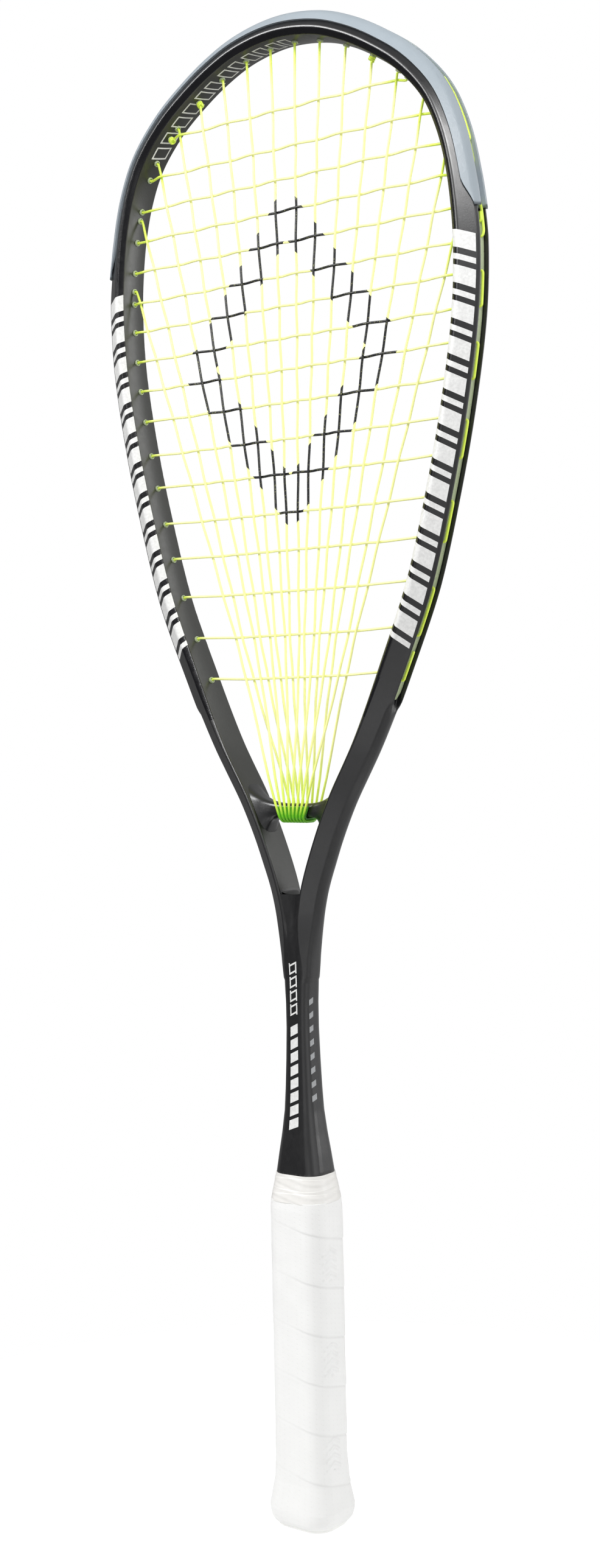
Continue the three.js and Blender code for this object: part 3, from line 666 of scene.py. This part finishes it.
def make_saddle():
    """Trough under the strings, with a rib between each two strings, narrower at the bottom."""
    half, low, high = SADDLE_HALF, SADDLE_LOW, SADDLE_HIGH
    x = np.linspace(-SADDLE_LENGTH / 2, SADDLE_LENGTH / 2, 137)
    slot = np.abs((x / BRIDGE_PITCH) % 1 - 0.5)
    rib = smoothstep(slot, 0.24, 0.4)
    edge = smoothstep(SADDLE_LENGTH / 2 - np.abs(x), 0, 0.7)
    grow = (SADDLE_THICK + rib) * (0.55 + 0.45 * edge)
    rows = [
        (-half, high), (-half, low + 0.9), (-half + 0.9, low), (half - 0.9, low),
        (half, low + 0.9), (half, high), (half + grow, high), (half + grow, low + 0.7 - grow * 0.3),
        (half - 0.6, low - grow), (-half + 0.6, low - grow), (-half - grow, low + 0.7 - grow * 0.3),
        (-half - grow, high),
    ]
    cuts = (0.2, 0.5, 0.5, 0.5, 0.5, 0.2, 0.35, 0.8, 0.8, 0.8, 0.8, 0.35)
    section = soften(outlines(rows, x), cuts, 3)
    xs = x[:, None] * wrap_width(section[..., 1])
    obj = one_skin("saddle", np.stack([xs, section[..., 0], section[..., 1]], -1), saddle_green)
    return obj


def wrap_width(z):
    """Spread of the strings at a height: they go on closing in down the bridge's sides."""
    share = np.clip((BRIDGE_TOP - np.asarray(z, float)) / (BRIDGE_TOP - SADDLE_LOW), 0, 1.1)
    return 1 - WRAP_TAPER * share


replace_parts(make_saddle(), "bridge_saddle")


# ---- guard, strips and barrels

def make_guard():
    """String channel, rims and flanges on the frame's bevels, tapering out at the ends."""
    arcs = np.linspace(BUMPER_END, -BUMPER_END, 181)
    thick = thick_at(arcs)
    floor = thick - GROOVE_DEPTH + GAP
    reach = smoothstep(BUMPER_END - np.abs(arcs), -1, BUMPER_CUT)

    def mix(cut, full):
        return cut + (full - cut) * reach

    rows = [
        (floor + STRIP_BASE, BUMPER_CHANNEL),
        (thick + BUMPER_RIM, BUMPER_CHANNEL),
        (thick + BUMPER_RIM, BUMPER_CHANNEL + 0.9),
        (thick - 0.1, 5.3),
        (thick - mix(0.2, 3.5), mix(5.3, 8.0)),
        (thick - mix(0.3, 3.9), mix(4.9, 6.6)),
        (thick - 0.75, 4.75),
        (thick + GAP, 3.85),
        (thick + GAP, GROOVE_HALF - GAP),
        (floor, GROOVE_HALF - 0.4),
    ]
    cuts = (0.3, 0.35, 0.6, 1.2, 0.3, 0.2, 0.3, 0.3, 0.2, 0.2)
    section = soften(mirrored(outlines(rows)), cuts + cuts[::-1])
    obj = one_skin("bumper_guard_nylon", on_wall(arcs, section), guard_nylon)
    return obj


def hole_circle(arc, angles):
    """The direction out through a hole, and points on a unit circle round it."""
    out = wall_at(arc)[1]
    sideways = np.array([-out[1], 0, out[0]])
    circle = np.cos(angles)[:, None] * sideways + np.sin(angles)[:, None] * np.array([0, 1.0, 0])
    return np.array([out[0], 0, out[1]]), circle


def barrel_rings(arc, top):
    """A grommet barrel through the wall, with a soft lip and an open bore."""
    profile = [
        (top, BARREL_BORE), (top, BARREL_R), (-BARREL_STAND * 0.4, BARREL_R),
        (-BARREL_STAND * 0.85, BARREL_R * 0.96), (-BARREL_STAND, BARREL_R * 0.84),
        (-BARREL_STAND * 0.95, BARREL_BORE * 1.15), (-BARREL_STAND * 0.5, BARREL_BORE),
        (top, BARREL_BORE),
    ]
    axis, circle = hole_circle(arc, np.arange(20) / 20 * TAU)
    return np.array([off_wall(arc, 0.0) + axis * t + circle * r for t, r in profile])


def make_barrels(name, arcs):
    pile = Pile()
    for arc in arcs:
        pile.skin(barrel_rings(arc, float(thick_at(arc)) - GROOVE_DEPTH + 0.4), lids=False)
    obj = pile.build(name, strip_nylon)


def make_strip(name, side):
    """Strip in the groove down one side, 1 on the right and -1 on the left."""
    arcs = np.linspace(*STRIP_ARCS, 120) * side
    floor = thick_at(arcs) - GROOVE_DEPTH + GAP
    narrow = STRIP_HALF * (1 - 0.55 * (1 - smoothstep(STRIP_ARCS[1] - np.abs(arcs), 0, 4)))
    lid = floor + STRIP_BASE
    rows = [(floor, -narrow), (lid, -narrow), (lid, narrow), (floor, narrow)]
    section = soften(outlines(rows), (0.1, 0.3, 0.3, 0.1), 3)
    obj = one_skin(name, on_wall(arcs, section), strip_nylon)
    return obj


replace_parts(make_guard(), "bumper_guard")
make_barrels("guard_barrels", [s * a for a in (*MAIN_ARCS[1:], *cross_arcs[:5]) for s in (1, -1)])
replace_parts(make_strip("strip_right", 1), "grommet_strip_right")
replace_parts(make_strip("strip_left", -1), "grommet_strip_left")
make_barrels("strip_barrels_right", [MAIN_ARCS[0], *cross_arcs[5:]])
make_barrels("strip_barrels_left", [-MAIN_ARCS[0], *(-cross_arcs[5:])])


# ---- strings

INSIDE = -(BARREL_STAND + STRING_R + 0.1)       # where a string meets its barrel
KNOT_OFF, KNOT_R, KNOT_LENGTH, KNOT_TURNS = 1.9, 1.05, 2.4, 2.6
WRAP_OFF = SADDLE_HALF + SADDLE_THICK + GAP + STRING_R


def main_arc(number):
    """A main's hole, along the wall from the crown; mains are numbered 1 to 16 from the left."""
    return -MAIN_ARCS[number - 1] if number <= 8 else MAIN_ARCS[16 - number]


def pair_x(number):
    return (math.ceil(number / 2) - 4.5) * BRIDGE_PITCH


def main_end(number):
    return off_wall(main_arc(number), INSIDE)


def on_main(number, z):
    """Point on a main at a height: odd mains reach the bridge's front, even ones its back."""
    top = main_end(number)
    share = (z - BRIDGE_TOP) / (top[2] - BRIDGE_TOP)
    x = pair_x(number) + (top[0] - pair_x(number)) * share
    fan = max(0.0, (FAN_END - z) / (FAN_END - BRIDGE_TOP))
    return np.array([x, (-1 if number % 2 else 1) * fan * WRAP_OFF, z])


def weave_side(number, row):
    return -1 if (number + row) % 2 == 0 else 1


def woven(points, offsets, per=7):
    """A path through points whose y offset eases from one crossing to the next."""
    points, offsets = np.asarray(points, float), np.asarray(offsets, float)
    out = []
    for a, b, ya, yb in zip(points, points[1:], offsets, offsets[1:]):
        t = np.linspace(0, 1, per, endpoint=False)[:, None]
        ease = 0.5 - 0.5 * np.cos(math.pi * t)
        step = a + (b - a) * t
        step[:, 1] = a[1] + ya + (b[1] + yb - a[1] - ya) * ease[:, 0]
        out.append(step)
    return np.vstack(out + [points[-1] + (0, offsets[-1], 0)])


def outside_loop(a, b, level, step=0.0):
    """Out of a hole, along the outside of the frame and into the next hole."""
    turn = math.copysign(1, b - a)
    ends = [off_wall(a, level(a) - 3.0), off_wall(a, level(a))]
    count = max(2, math.ceil(abs(b - a) / 6))
    along = np.linspace(a + turn * LOOP_SHOULDER, b - turn * LOOP_SHOULDER, count)
    middle = [off_wall(arc, level(arc), step) for arc in along]
    return ends + middle + [off_wall(b, level(b)), off_wall(b, level(b) - 3.0)]


def cross_level(arc):
    return float(thick_at(arc)) - LOOP_SINK


def main_level(arc):
    return cross_level(arc) + UPPER_LOOP


def main_run(number):
    """One main from its hole down to the bridge, bending a little round each cross."""
    rows = [row for row, z in enumerate(CROSS_Z) if z < main_end(number)[2] - 3]
    points = [main_end(number)] + [on_main(number, CROSS_Z[row]) for row in rows]
    offsets = [0.0] + [-weave_side(number, row) * MAIN_OFF for row in rows]
    return woven(points + [on_main(number, BRIDGE_TOP)], offsets + [0.0], 5)


def bridge_wrap(number):
    """Down the front of the bridge, under it and up the back."""
    x, under = pair_x(number), SADDLE_LOW - SADDLE_THICK - GAP - STRING_R
    route = [(-WRAP_OFF, BRIDGE_TOP), (-WRAP_OFF, under + 1.9), (-WRAP_OFF + 1.9, under)]
    back = [(-y, z) for y, z in reversed(route)]
    return round_path([(x * float(wrap_width(z)), y, z) for y, z in route + back], 1.6)


def tail(arc, reach, level_arc):
    """A string's free end: out of a hole and along the groove for a signed distance."""
    level = cross_level(level_arc)
    step = math.copysign(0.2, reach)
    out = [off_wall(arc, 3.0), off_wall(arc + step, cross_level(arc)), off_wall(arc + reach, level)]
    return round_path(out, 1.0)


def make_string(name, parts):
    rings = tube_rings(np.vstack(parts), STRING_R)
    obj = one_skin(name, rings, string_neon, weighted=False)
    return obj


def make_mains():
    first, last = main_arc(1), main_arc(16)
    parts = [tail(first, MAIN_TAIL, first)[::-1]]
    for number in range(1, 17, 2):
        parts += [main_run(number), bridge_wrap(number)[1:-1], main_run(number + 1)[::-1]]
        if number < 15:
            loop = outside_loop(main_arc(number + 1), main_arc(number + 2), main_level)
            parts.append(round_path(loop, LOOP_CUT))
    parts.append(tail(last, -MAIN_TAIL, last))
    return make_string("string_mains", parts)


def cross_run(row):
    z, arc = CROSS_Z[row], cross_arcs[row]
    numbers = [n for n in range(1, 17) if main_end(n)[2] > z]
    points = [off_wall(-arc, INSIDE)] + [on_main(n, z) for n in numbers] + [off_wall(arc, INSIDE)]
    offsets = [0.0] + [weave_side(n, row) * CROSS_OFF for n in numbers] + [0.0]
    return woven(points, offsets)


def make_crosses():
    first, last = -cross_arcs[0], cross_arcs[-1]
    parts = [tail(first, -CROSS_TAIL, first)[::-1]]
    for row in range(len(CROSS_Z)):
        rightward = row % 2 == 0
        run = cross_run(row)
        parts.append(run if rightward else run[::-1])
        if row + 1 < len(CROSS_Z):
            side = 1 if rightward else -1
            blocked = any(cross_arcs[row] < arc < cross_arcs[row + 1] for arc in MAIN_ARCS)
            step = UPPER_LOOP if blocked else 0.0
            loop = outside_loop(side * cross_arcs[row], side * cross_arcs[row + 1], cross_level, step)
            parts.append(round_path(loop, LOOP_CUT))
    parts.append(tail(last, -LAST_TAIL, last - LAST_TAIL))
    return make_string("string_crosses", parts)


def make_knots():
    """Tie-off knots: turns of string drawn tight against a barrel."""
    pile = Pile()
    t = np.linspace(0, 1, 60)
    for arc in (-float(cross_arcs[0]), float(cross_arcs[-2]), MAIN_ARCS[4], -MAIN_ARCS[4]):
        axis, circle = hole_circle(arc, t * KNOT_TURNS * TAU)
        path = off_wall(arc, -KNOT_OFF) + circle * KNOT_R - axis * ((t - 0.5) * KNOT_LENGTH)[:, None]
        pile.skin(tube_rings(path, STRING_R * 0.95, 8))
    obj = pile.build("string_knots", string_neon, weighted=False)


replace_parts(make_mains(), "main_string")
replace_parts(make_crosses(), "cross_string")
make_knots()


# ---- printed marks

def finish_marks(pile, name, ink):
    obj = pile.build(name, ink, weighted=False)


def mark_on_face(pile, arc_range, run, slant, face):
    """A printed patch on the front (face -1) or back; run is in mm from the inner corner."""
    steps = max(3, int(abs(arc_range[1] - arc_range[0]) / 1.5))
    grid = [[surface_point(arc + slant * (f - 0.5), run[0] + (run[1] - run[0]) * f, face)
             for f in np.linspace(0, 1, 25)] for arc in np.linspace(*arc_range, steps + 1)]
    pile.patch(grid)


def surface_point(arc, distance, face):
    """Point just over the frame's skin, at a distance along it from the inner wall's corner."""
    _, section = frame_rings(np.array([arc]))
    skin = section[0][:-len(BULGE_SHARES)]
    half = skin[len(skin) // 2:][::-1]
    reach = lengths_along(half)
    behind, here, ahead = (sample(distance + step, reach, half) for step in (-0.3, 0, 0.3))
    along = (ahead - behind) / max(np.linalg.norm(ahead - behind), 1e-9)
    lifted = here + np.array([along[1], -along[0]]) * -INK_LIFT
    if lifted[1] > here[1]:
        lifted = here - (lifted - here)
    return off_wall(arc, lifted[0], -face * lifted[1])


def bar_band(pile, start, end, run, cells, face):
    """A plain band of slanting bars, a broad one and a narrow one in turn."""
    cell = (end - start) / cells
    slant = 3.2 * math.copysign(1, cell)
    for i in range(cells):
        a = start + i * cell
        mark_on_face(pile, (a, a + 0.5 * cell), run, slant, face)
        mark_on_face(pile, (a + 0.68 * cell, a + 0.84 * cell), run, slant, face)


def make_limb_marks():
    pile = Pile()
    low, high = (float(arc_at(z)) for z in LIMB_MARKS)
    for face in (-1, 1):
        for side in (-1, 1):
            bar_band(pile, side * low, side * high, BAND_RUN, BAND_CELLS, face)
    finish_marks(pile, "limb_marks", white_ink)


def outline_box(pile, arc, width):
    """An outlined, slanting box on the inner wall."""
    def bar(a0, a1, y0, y1):
        row = np.linspace(y0, y1, 7)
        lift = INK_LIFT + WALL_BULGE * (1 - (row / WALL_HALF) ** 2)
        pile.patch([[off_wall(a + BOX_SLANT * y, -t, y) for y, t in zip(row, lift)]
                    for a in np.linspace(a0, a1, 5)])

    half = BOX_HIGH / 2
    bar(arc, arc + BOX_LINE, -half, half)
    bar(arc + width - BOX_LINE, arc + width, -half, half)
    bar(arc, arc + width, half - BOX_LINE, half)
    bar(arc, arc + width, -half, -half + BOX_LINE)


def make_inner_marks():
    pile = Pile()
    arcs = [(a + b) / 2 for a, b in zip(MAIN_ARCS[2:], MAIN_ARCS[3:])] + [0.0]
    for middle in arcs:
        span = 12.0 if middle < 60 else 15.0
        for start in (-middle - span / 2, -middle + span * 0.06):
            outline_box(pile, start, span * BOX_SHARE)
    finish_marks(pile, "inner_marks", white_ink)


make_limb_marks()
make_inner_marks()

neck_table = neck_rings()
neck_z = neck_table[:, 0, 2]


def neck_point(z, angle):
    """Point just over the shaft's skin in a direction in degrees, 0 in front and 90 on the right."""
    ring = sample(-z, -neck_z, neck_table.reshape(len(neck_z), -1)).reshape(-1, 3)[:, :2]
    directions = np.degrees(np.arctan2(ring[:, 0], -ring[:, 1]))
    order = np.argsort(directions)
    spot = sample(angle, directions[order], ring[order], period=360)
    spot *= 1 + INK_LIFT / np.linalg.norm(spot)
    return np.array([spot[0], spot[1], z])


def neck_patch(pile, z_range, angles, slant=0.0):
    steps = max(2, int(abs(z_range[1] - z_range[0]) / 2))
    grid = [[neck_point(z + slant * (f - 0.5), angles[0] + (angles[1] - angles[0]) * f)
             for f in np.linspace(0, 1, 7)] for z in np.linspace(*z_range, steps + 1)]
    pile.patch(grid)


def make_neck_marks():
    """Outlined boxes above plain blocks down the front, and small grey blocks down the side."""
    front, side = Pile(), Pile()
    for i in range(4):
        z = BOX_ROW_TOP - i * BOX_ROW_PITCH
        neck_patch(front, (z, z - 0.8), FRONT_TURNS, 2)
        neck_patch(front, (z - 3.6, z - 4.4), FRONT_TURNS, 2)
        neck_patch(front, (z, z - 4.4), (FRONT_TURNS[0], FRONT_TURNS[0] + 5))
        neck_patch(front, (z, z - 4.4), (FRONT_TURNS[1] - 5, FRONT_TURNS[1]))
    for i in range(8):
        z, z_side = BLOCK_ROW_TOP - i * BLOCK_ROW_PITCH, SIDE_ROW_TOP - i * BOX_ROW_PITCH
        neck_patch(front, (z, z - 4.3), FRONT_TURNS, 2)
        neck_patch(side, (z_side, z_side - SIDE_BLOCK), SIDE_TURNS, 1)
    finish_marks(front, "neck_marks_front", white_ink)
    finish_marks(side, "neck_marks_side", grey_ink)


make_neck_marks()


# ---- handle

def rounded_ring(a, b, r, count):
    """A rounded rectangle as (x, y), evenly spaced from the front's middle, anticlockwise."""
    quarter = rounded_quarter(a, b, r, np.linspace(0, 1, count // 4, endpoint=False))
    first = np.concatenate([quarter * (1, -1), [[a, 0]], quarter[:0:-1]])
    return np.concatenate([first, [[0, b]], (first[1:] * (-1, 1))[::-1]])


def sleeve(name, material, heights, size, relief, count, uv=False):
    """A wrap over the handle: size(z) gives the section, relief(turn, z) its rise in mm."""
    rings = []
    for z in heights:
        ring = rounded_ring(*size(z), count)
        outward = np.roll(ring, -1, 0) - np.roll(ring, 1, 0)
        outward = np.stack([outward[:, 1], -outward[:, 0]], -1)
        outward /= np.linalg.norm(outward, axis=1, keepdims=True)
        turn = np.arange(len(ring)) / len(ring)
        ring = ring + outward * relief(turn, z)[:, None]
        rings.append(np.column_stack([ring, np.full(len(ring), z)]))
    rings = np.array(rings)
    low, high = ([ring * (0.955, 0.955, 1), ring * (0.93, 0.93, 1) + (0, 0, way * 1.5)]
                 for ring, way in ((rings[0], 1), (rings[-1], -1)))
    skin = np.concatenate([low[::-1], rings, high])
    obj = one_skin(name, skin, material, lids=False, weighted=False)
    if uv:
        layer = obj.data.uv_layers.new(name="wrap")
        for polygon in obj.data.polygons:
            indices = [obj.data.loops[i].vertex_index for i in polygon.loop_indices]
            turns = [(i % rings.shape[1]) / rings.shape[1] for i in indices]
            wrap = max(turns) - min(turns) > 0.5
            for loop, i, turn in zip(polygon.loop_indices, indices, turns):
                turn += 1 if wrap and turn < 0.5 else 0
                z = obj.data.vertices[i].co.z / MM
                layer.data[loop].uv = (turn * GRIP_ROUND, z + turn * GRIP_PITCH)
    return obj


def grip_size(z):
    return tuple(float(np.interp(z, GRIP_Z, v)) for v in (GRIP_A, GRIP_B, GRIP_R))


def grip_relief(turn, z):
    """Each turn of the wrap laps the one below: a small step up, then a slow fall."""
    phase = (z / GRIP_PITCH + turn + SEAM_PHASE) % 1.0
    firm = 0.35 + 0.95 * smoothstep(np.sin(TAU * turn), -0.2, 0.7)
    lap = 0.24 * smoothstep(phase, 0.0, 0.035) * (1 - smoothstep(phase, 0.05, 0.9) * 0.75)
    crease = -0.12 * sum(np.exp(-((phase - seam) / 0.024) ** 2) for seam in (0.01, 1.01))
    lumps = 0.05 * np.sin(TAU * (3 * turn + z / 31)) * np.sin(z / 7.3)
    return ((lap + crease) * firm + lumps + chevrons(turn, z)) * smoothstep(z, 2, 9) - 0.1


def chevrons(turn, z):
    """Plain nested chevrons, embossed down the grip's right side."""
    middle = EMBOSS_Z[int(np.argmin([abs(z - m) for m in EMBOSS_Z]))]
    across, up = (turn - EMBOSS_TURN) * GRIP_ROUND, z - middle
    area = (np.abs(across) < EMBOSS_HALF) & (abs(up) < EMBOSS_HIGH)
    wave = np.cos(TAU * (up + 0.6 * np.abs(across)) / EMBOSS_PITCH)
    return area * EMBOSS_DEPTH * smoothstep(wave, 0.0, 0.8)


def make_grip():
    heights = np.concatenate([np.linspace(GRIP_LOW, 14, 40), np.linspace(14.4, GRIP_TOP, 330)])
    obj = sleeve("grip_wrap_leather", grip_white, heights, grip_size, grip_relief, 200, uv=True)
    return obj


def tape_relief(turn, z):
    """Stretched tape: lapping turns and a few fine wrinkles that slant round it."""
    lap = 0.0
    for edge in TAPE_EDGES:
        line = edge + 1.1 * np.sin(TAU * turn + edge)
        lap = lap + 0.16 * smoothstep(line - z, -0.25, 0.25)
    wrinkle = 0.09 * np.sin(2.1 * z + 3 * np.sin(TAU * turn) + 2 * np.sin(2 * TAU * turn))
    wrinkle *= 0.4 + 0.6 * np.sin(TAU * turn * 2 + 0.6 * z) ** 2
    return lap + wrinkle


def make_tape():
    def size(z):
        share = (z - TAPE_LOW) / (TAPE_TOP - TAPE_LOW)
        return tuple(low + (high - low) * share for low, high in TAPE_SIZES)

    heights = np.linspace(TAPE_LOW, TAPE_TOP, 90)
    obj = sleeve("finishing_tape_vinyl", tape_white, heights, size, tape_relief, 200)
    return obj


def make_cap():
    """The butt cap's flat end with a shallow round recess and a plain raised ring."""
    rows = [(13.0, 0.0), (14.4, 0.3), (15.1, 1.4), (15.2, 6.0)]
    inner = [(10.4, 0.0), (10.1, 0.5), (7.2, 0.5), (6.9, 0.15), (5.6, 0.15), (5.3, 0.5), (0.4, 0.5)]
    rings = []
    for a, z in inner[::-1] + rows:
        b = a * 11.6 / 13.4
        rings.append(np.column_stack([rounded_ring(a, b, b * 0.72, 120), np.full(120, z)]))
    pile = Pile()
    pile.skin(rings, lids=False)
    pile.faces.append(list(range(120)))
    obj = pile.build("butt_cap_plastic", cap_plastic)
    return obj


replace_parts(make_grip(), "grip_wrap")
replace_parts(make_tape(), "finishing_tape")
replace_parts(make_cap(), "butt_cap")

for node, material in (("handle_pallet_front", foam), ("handle_pallet_back", foam),
                       ("butt_staple_front", steel), ("butt_staple_back", steel)):
    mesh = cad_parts[node].data
    mesh.materials.clear()
    mesh.materials.append(material)


# ---- stage, light and camera

WHITE = (1, 1, 1, 1)
FLOOR_RADIUS, FLOOR_SIDES = 0.3, 96
WORLD_AXIS = (0.8, 0.6, 0.0)
WORLD_RANGE = (0.12, 0.5)
CAMERA_PLACE, CAMERA_SENSOR, CAMERA_LENS = (0.525568, -0.705302, 0.360303), 36, 44.72
CAMERA_YAW, CAMERA_PITCH, CAMERA_ROLL = (math.radians(a) for a in (36.626, 1.5496, -1.1855))

# Soft area lights: name, place and target in metres, size in metres, power in watts.
LIGHTS = (
    ("key", (-1.2, -1.6, 1.8), (0, 0, 0.3), (1.0, 1.0), 44),
    ("fill", (1.95, -0.45, 0.8), (0, 0, 0.35), (1.0, 2.0), 4.8),
    ("edge", (1.42, 1.12, 0.9), (0, 0, 0.5), (0.7, 1.4), 10.5),
    ("glint", (0.92, -1.6, 0.16), (0, 0, 0.3), (0.7, 0.3), 0.5),
    ("head", (-0.1, -0.54, 0.77), (0.08, 0, 0.62), (0.25, 0.15), 0.6),
    ("bevel", (0.38, -0.5, 0.97), (0.08, 0, 0.6), (0.25, 0.2), 3.4),
    ("kick", (0.36, -0.6, 0.0), (0, 0, 0.3), (0.3, 0.15), 0.15),
)


def make_floor():
    s = Shader("floor_white", Roughness=0.9, Emission_Strength=0.66)
    s.set("Base Color", s.blend(s.noise(3, 2), (0.50, 0.50, 0.50, 1), (0.52, 0.52, 0.52, 1)))
    s.surface.inputs["Emission Color"].default_value = WHITE
    turns = np.arange(FLOOR_SIDES) / FLOOR_SIDES * TAU
    rim = [(FLOOR_RADIUS * math.cos(t), FLOOR_RADIUS * math.sin(t), 0) for t in turns]
    mesh = bpy.data.meshes.new("floor")
    mesh.from_pydata(rim, [], [tuple(range(FLOOR_SIDES))])
    mesh.materials.append(s.material)
    floor = add_object("floor", mesh)


def add_light(name, place, target, size, power):
    data = bpy.data.lights.new(name, "AREA")
    data.shape = "RECTANGLE"
    data.size, data.size_y = size
    data.energy = power
    light = add_object(name, data)
    light.location = place
    light.rotation_mode = "QUATERNION"
    light.rotation_quaternion = (Vector(target) - Vector(place)).to_track_quat("-Z", "Y")


def make_world():
    """Soft surroundings, brighter to the right and behind, that the camera sees as pure white."""
    world = bpy.data.worlds.new("studio")
    scene.world = world
    world.use_nodes = True
    tree, nodes = world.node_tree, Nodes(world.node_tree)
    place = nodes.node("ShaderNodeTexCoord").outputs["Generated"]
    across = nodes.node("ShaderNodeVectorMath", {0: place, 1: WORLD_AXIS}, operation="DOT_PRODUCT")
    strength = nodes.spread(across.outputs["Value"], -1.0, 1.0, *WORLD_RANGE)
    light = tree.nodes["Background"]
    light.inputs["Color"].default_value = WHITE
    tree.links.new(strength, light.inputs["Strength"])
    seen = nodes.node("ShaderNodeBackground", {"Color": WHITE}).outputs[0]
    ray = nodes.node("ShaderNodeLightPath").outputs["Is Camera Ray"]
    mix = nodes.node("ShaderNodeMixShader", {0: ray, 1: light.outputs[0], 2: seen})
    tree.links.new(mix.outputs[0], tree.nodes["World Output"].inputs["Surface"])


def make_camera():
    data = bpy.data.cameras.new("camera")
    data.sensor_width, data.lens = CAMERA_SENSOR, CAMERA_LENS
    data.clip_start, data.clip_end = 0.01, 50
    camera = add_object("camera", data)
    turn = (Matrix.Rotation(CAMERA_YAW, 4, "Z") @ Matrix.Rotation(TAU / 4 - CAMERA_PITCH, 4, "X")
            @ Matrix.Rotation(CAMERA_ROLL, 4, "Z"))
    camera.matrix_world = Matrix.Translation(CAMERA_PLACE) @ turn
    scene.camera = camera


make_floor()
make_world()
for light in LIGHTS:
    add_light(*light)
make_camera()
scene.view_settings.view_transform = "Standard"
